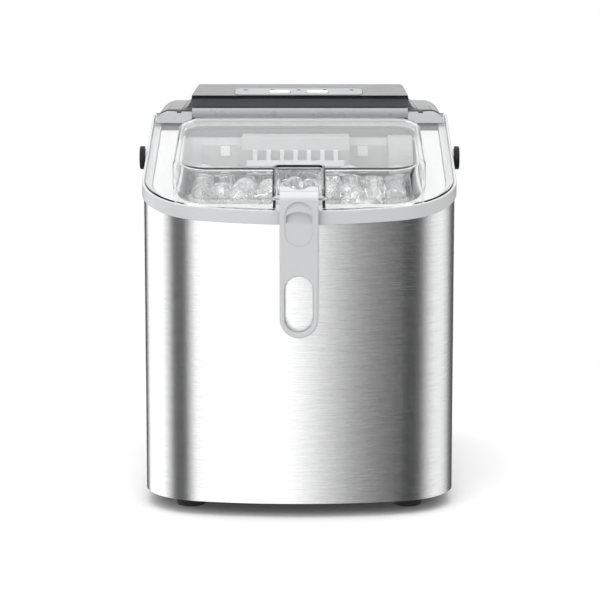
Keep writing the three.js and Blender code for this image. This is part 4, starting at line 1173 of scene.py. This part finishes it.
# %% Finishes for the machinery
machinery = {
    foam_finish: "insulation",
    nickel_finish: "evaporator",
    # The covers get the grey with painted shade in its colour.
    shade_finish: "evaporator_cover tray_motor_cover",
    liner_finish: "ice_guard_comb tray_bracket ice_chute ice_shovel",
    basket_finish: "water_tray",
    black_finish: "tray_motor shovel_motor water_pump water_float drain_spout fan_shroud fan_blade",
    # The ice room's wall gets a grey with painted shade in its colour.
    wall_shade_finish: "ice_room_wall",
    white_finish: "ice_sensor_left ice_sensor_right",
    hose_finish: "pump_hose drain_hose",
    enamel_finish: "compressor",
    zinc_finish: "compressor_mount fan_motor",
    fin_finish: "condenser",
    copper_finish: "filter_drier discharge_pipe suction_pipe",
    board_finish: "control_board",
    pin_finish: "lid_hinge_pin_left lid_hinge_pin_right strap_pin handle_pin_left handle_pin_right",
}
kept = [(node, material) for material, nodes in machinery.items() for node in nodes.split()]
for node, material in kept:
    obj = frame["nodes"][node]
    obj.data.materials.clear()
    obj.data.materials.append(material)
    weld = obj.modifiers.new("weld", "WELD")
    weld.merge_threshold = 0.01 * MM
    melt = obj.modifiers.new("melt", "DECIMATE")
    melt.decimate_type = "DISSOLVE"
    melt.angle_limit = math.radians(1)
    edge_round = obj.modifiers.new("edges", "BEVEL")
    edge_round.width = 0.4 * MM
    edge_round.segments = 2
    edge_round.angle_limit = math.radians(35)
print(len(kept), "pieces keep the frame's shape")

# %% [markdown]
# ## Floor and light
# A seamless pale table. Near the machine it takes shadows, and further out it fades to pure white.

# %% Floor
WHITE = (1, 1, 1, 1)
bpy.ops.object.select_all(action="DESELECT")
bpy.ops.mesh.primitive_plane_add(size=8, location=(0, 0, 0))
floor = bpy.context.object
floor.name = "floor"
floor.visible_glossy = False
floor_finish = new_material("floor_white", (0.78, 0.78, 0.78), 0.9, Emission_Color=WHITE)
principled(floor_finish).inputs["Emission Strength"].default_value = 0.03
vary(floor_finish, stretched_noise(floor_finish, 6), "Roughness", 0.85, 0.95)
spot = add(floor_finish, "ShaderNodeTexCoord")
reach = add(floor_finish, "ShaderNodeVectorMath", operation="LENGTH")
fade = smooth_step(floor_finish, 0.2, 0.55)
glow = add(floor_finish, "ShaderNodeEmission", inputs={"Color": WHITE, "Strength": 1.0})
blend = add(floor_finish, "ShaderNodeMixShader")
link(
    floor_finish,
    (spot, "Object", reach, 0),
    (reach, "Value", fade, "Value"),
    (fade, "Result", blend, "Fac"),
    (principled(floor_finish), "BSDF", blend, 1),
    (glow, "Emission", blend, 2),
    (blend, "Shader", floor_finish.node_tree.nodes["Material Output"], "Surface"),
)
floor.data.materials.append(floor_finish)

# %% [markdown]
# ### Sky
# The room is white all round, with dark cards where the steel should show dark bands. The cards are
# painted on the sky for mirror rays only, as a gradient by compass direction that gives way to white
# overhead and darkens towards the table. The steel's round corners and gentle bow turn that gradient
# into the soft vertical stripes of a studio shot. Camera rays and rays through clear plastic see
# plain white.

# %% Sky with stripes for mirror rays
STRIPES = [  # compass direction in degrees, 0 straight in front, and brightness
    (-180, 0.8), (-172, 0.8), (-165, 0.03), (-156, 0.03), (-147, 0.26), (-134, 0.9), (-100, 1.0),
    (-81, 0.5), (-69, 0.05), (-47, 0.06), (-35, 0.65), (-25, 1.0), (-4, 1.0), (4, 0.62), (14, 0.25),
    (28, 0.03), (46, 0.01), (62, 0.06), (82, 0.55), (98, 0.68), (116, 0.63), (127, 0.44), (139, 0.13),
    (158, 0.05), (165, 0.04), (172, 0.8), (180, 0.8),
]
world = bpy.data.worlds.new("studio")
bpy.context.scene.world = world
world.use_nodes = True
direction = add(world, "ShaderNodeTexCoord")
parts = add(world, "ShaderNodeSeparateXYZ")
flip = add(world, "ShaderNodeMath", operation="MULTIPLY", inputs={1: -1})
compass = add(world, "ShaderNodeMath", operation="ARCTAN2")
share = add(world, "ShaderNodeMapRange", inputs={"From Min": -math.pi, "From Max": math.pi})
stripes = add(world, "ShaderNodeValToRGB")
height = smooth_step(world, 0.2, 0.45)
overhead = add(world, "ShaderNodeMix", data_type="RGBA", inputs={COLOR_B: (0.86, 0.86, 0.86, 1)})
table = smooth_step(world, -0.75, -0.4, **{"To Min": 0.5})
below = add(world, "ShaderNodeVectorMath", operation="SCALE")
path = add(world, "ShaderNodeLightPath")
either = add(world, "ShaderNodeMath", operation="MAXIMUM")
mirror = world.node_tree.nodes["Background"]
mirror.inputs["Strength"].default_value = 1.5
plain = add(world, "ShaderNodeBackground", inputs={"Color": WHITE, "Strength": 1.0})
chooser = add(world, "ShaderNodeMixShader")
link(
    world,
    (direction, "Generated", parts, "Vector"),
    (parts, "Y", flip, 0),
    (parts, "X", compass, 0),
    (flip, "Value", compass, 1),
    (compass, "Value", share, "Value"),
    (share, "Result", stripes, "Fac"),
    (parts, "Z", height, "Value"),
    (height, "Result", overhead, "Factor"),
    (stripes, "Color", overhead, COLOR_A),
    (parts, "Z", table, "Value"),
    (overhead, COLOR_OUT, below, 0),
    (table, "Result", below, "Scale"),
    (below, "Vector", mirror, "Color"),
    (path, "Is Camera Ray", either, 0),
    (path, "Is Transmission Ray", either, 1),
    (either, "Value", chooser, "Fac"),
    (mirror, "Background", chooser, 1),
    (plain, "Background", chooser, 2),
    (chooser, "Shader", world.node_tree.nodes["World Output"], "Surface"),
)
ramp = stripes.color_ramp
for number, (degrees, value) in enumerate(STRIPES):
    spot = (degrees + 180) / 360
    stop = ramp.elements[number] if number < 2 else ramp.elements.new(spot)
    stop.position = spot
    stop.color = (value, value, value, 1)
print(len(ramp.elements), "stops of light and dark round the sky")

# %% [markdown]
# ### Lamps
# One large soft lamp overhead and a smaller one at the front left lift the plastics and soften the
# contact shadow. Neither shows in mirrors: the sky alone draws the steel's stripes.

# %% Lamps
for name, spot, size, power in (
    ("softbox_top", (0, 100, 1600), 1600, 12),
    ("softbox_front", (-800, -1400, 900), 1100, 8),
):
    lamp_data = bpy.data.lights.new(name, "AREA")
    lamp_data.size = size * MM
    lamp_data.energy = power
    lamp = bpy.data.objects.new(name, lamp_data)
    bpy.context.scene.collection.objects.link(lamp)
    lamp.location = place(*spot)
    lamp.rotation_euler = (place(0, 140, 120) - lamp.location).to_track_quat("-Z", "Y").to_euler()
    lamp.visible_glossy = False
bpy.context.scene.view_settings.view_transform = "Standard"
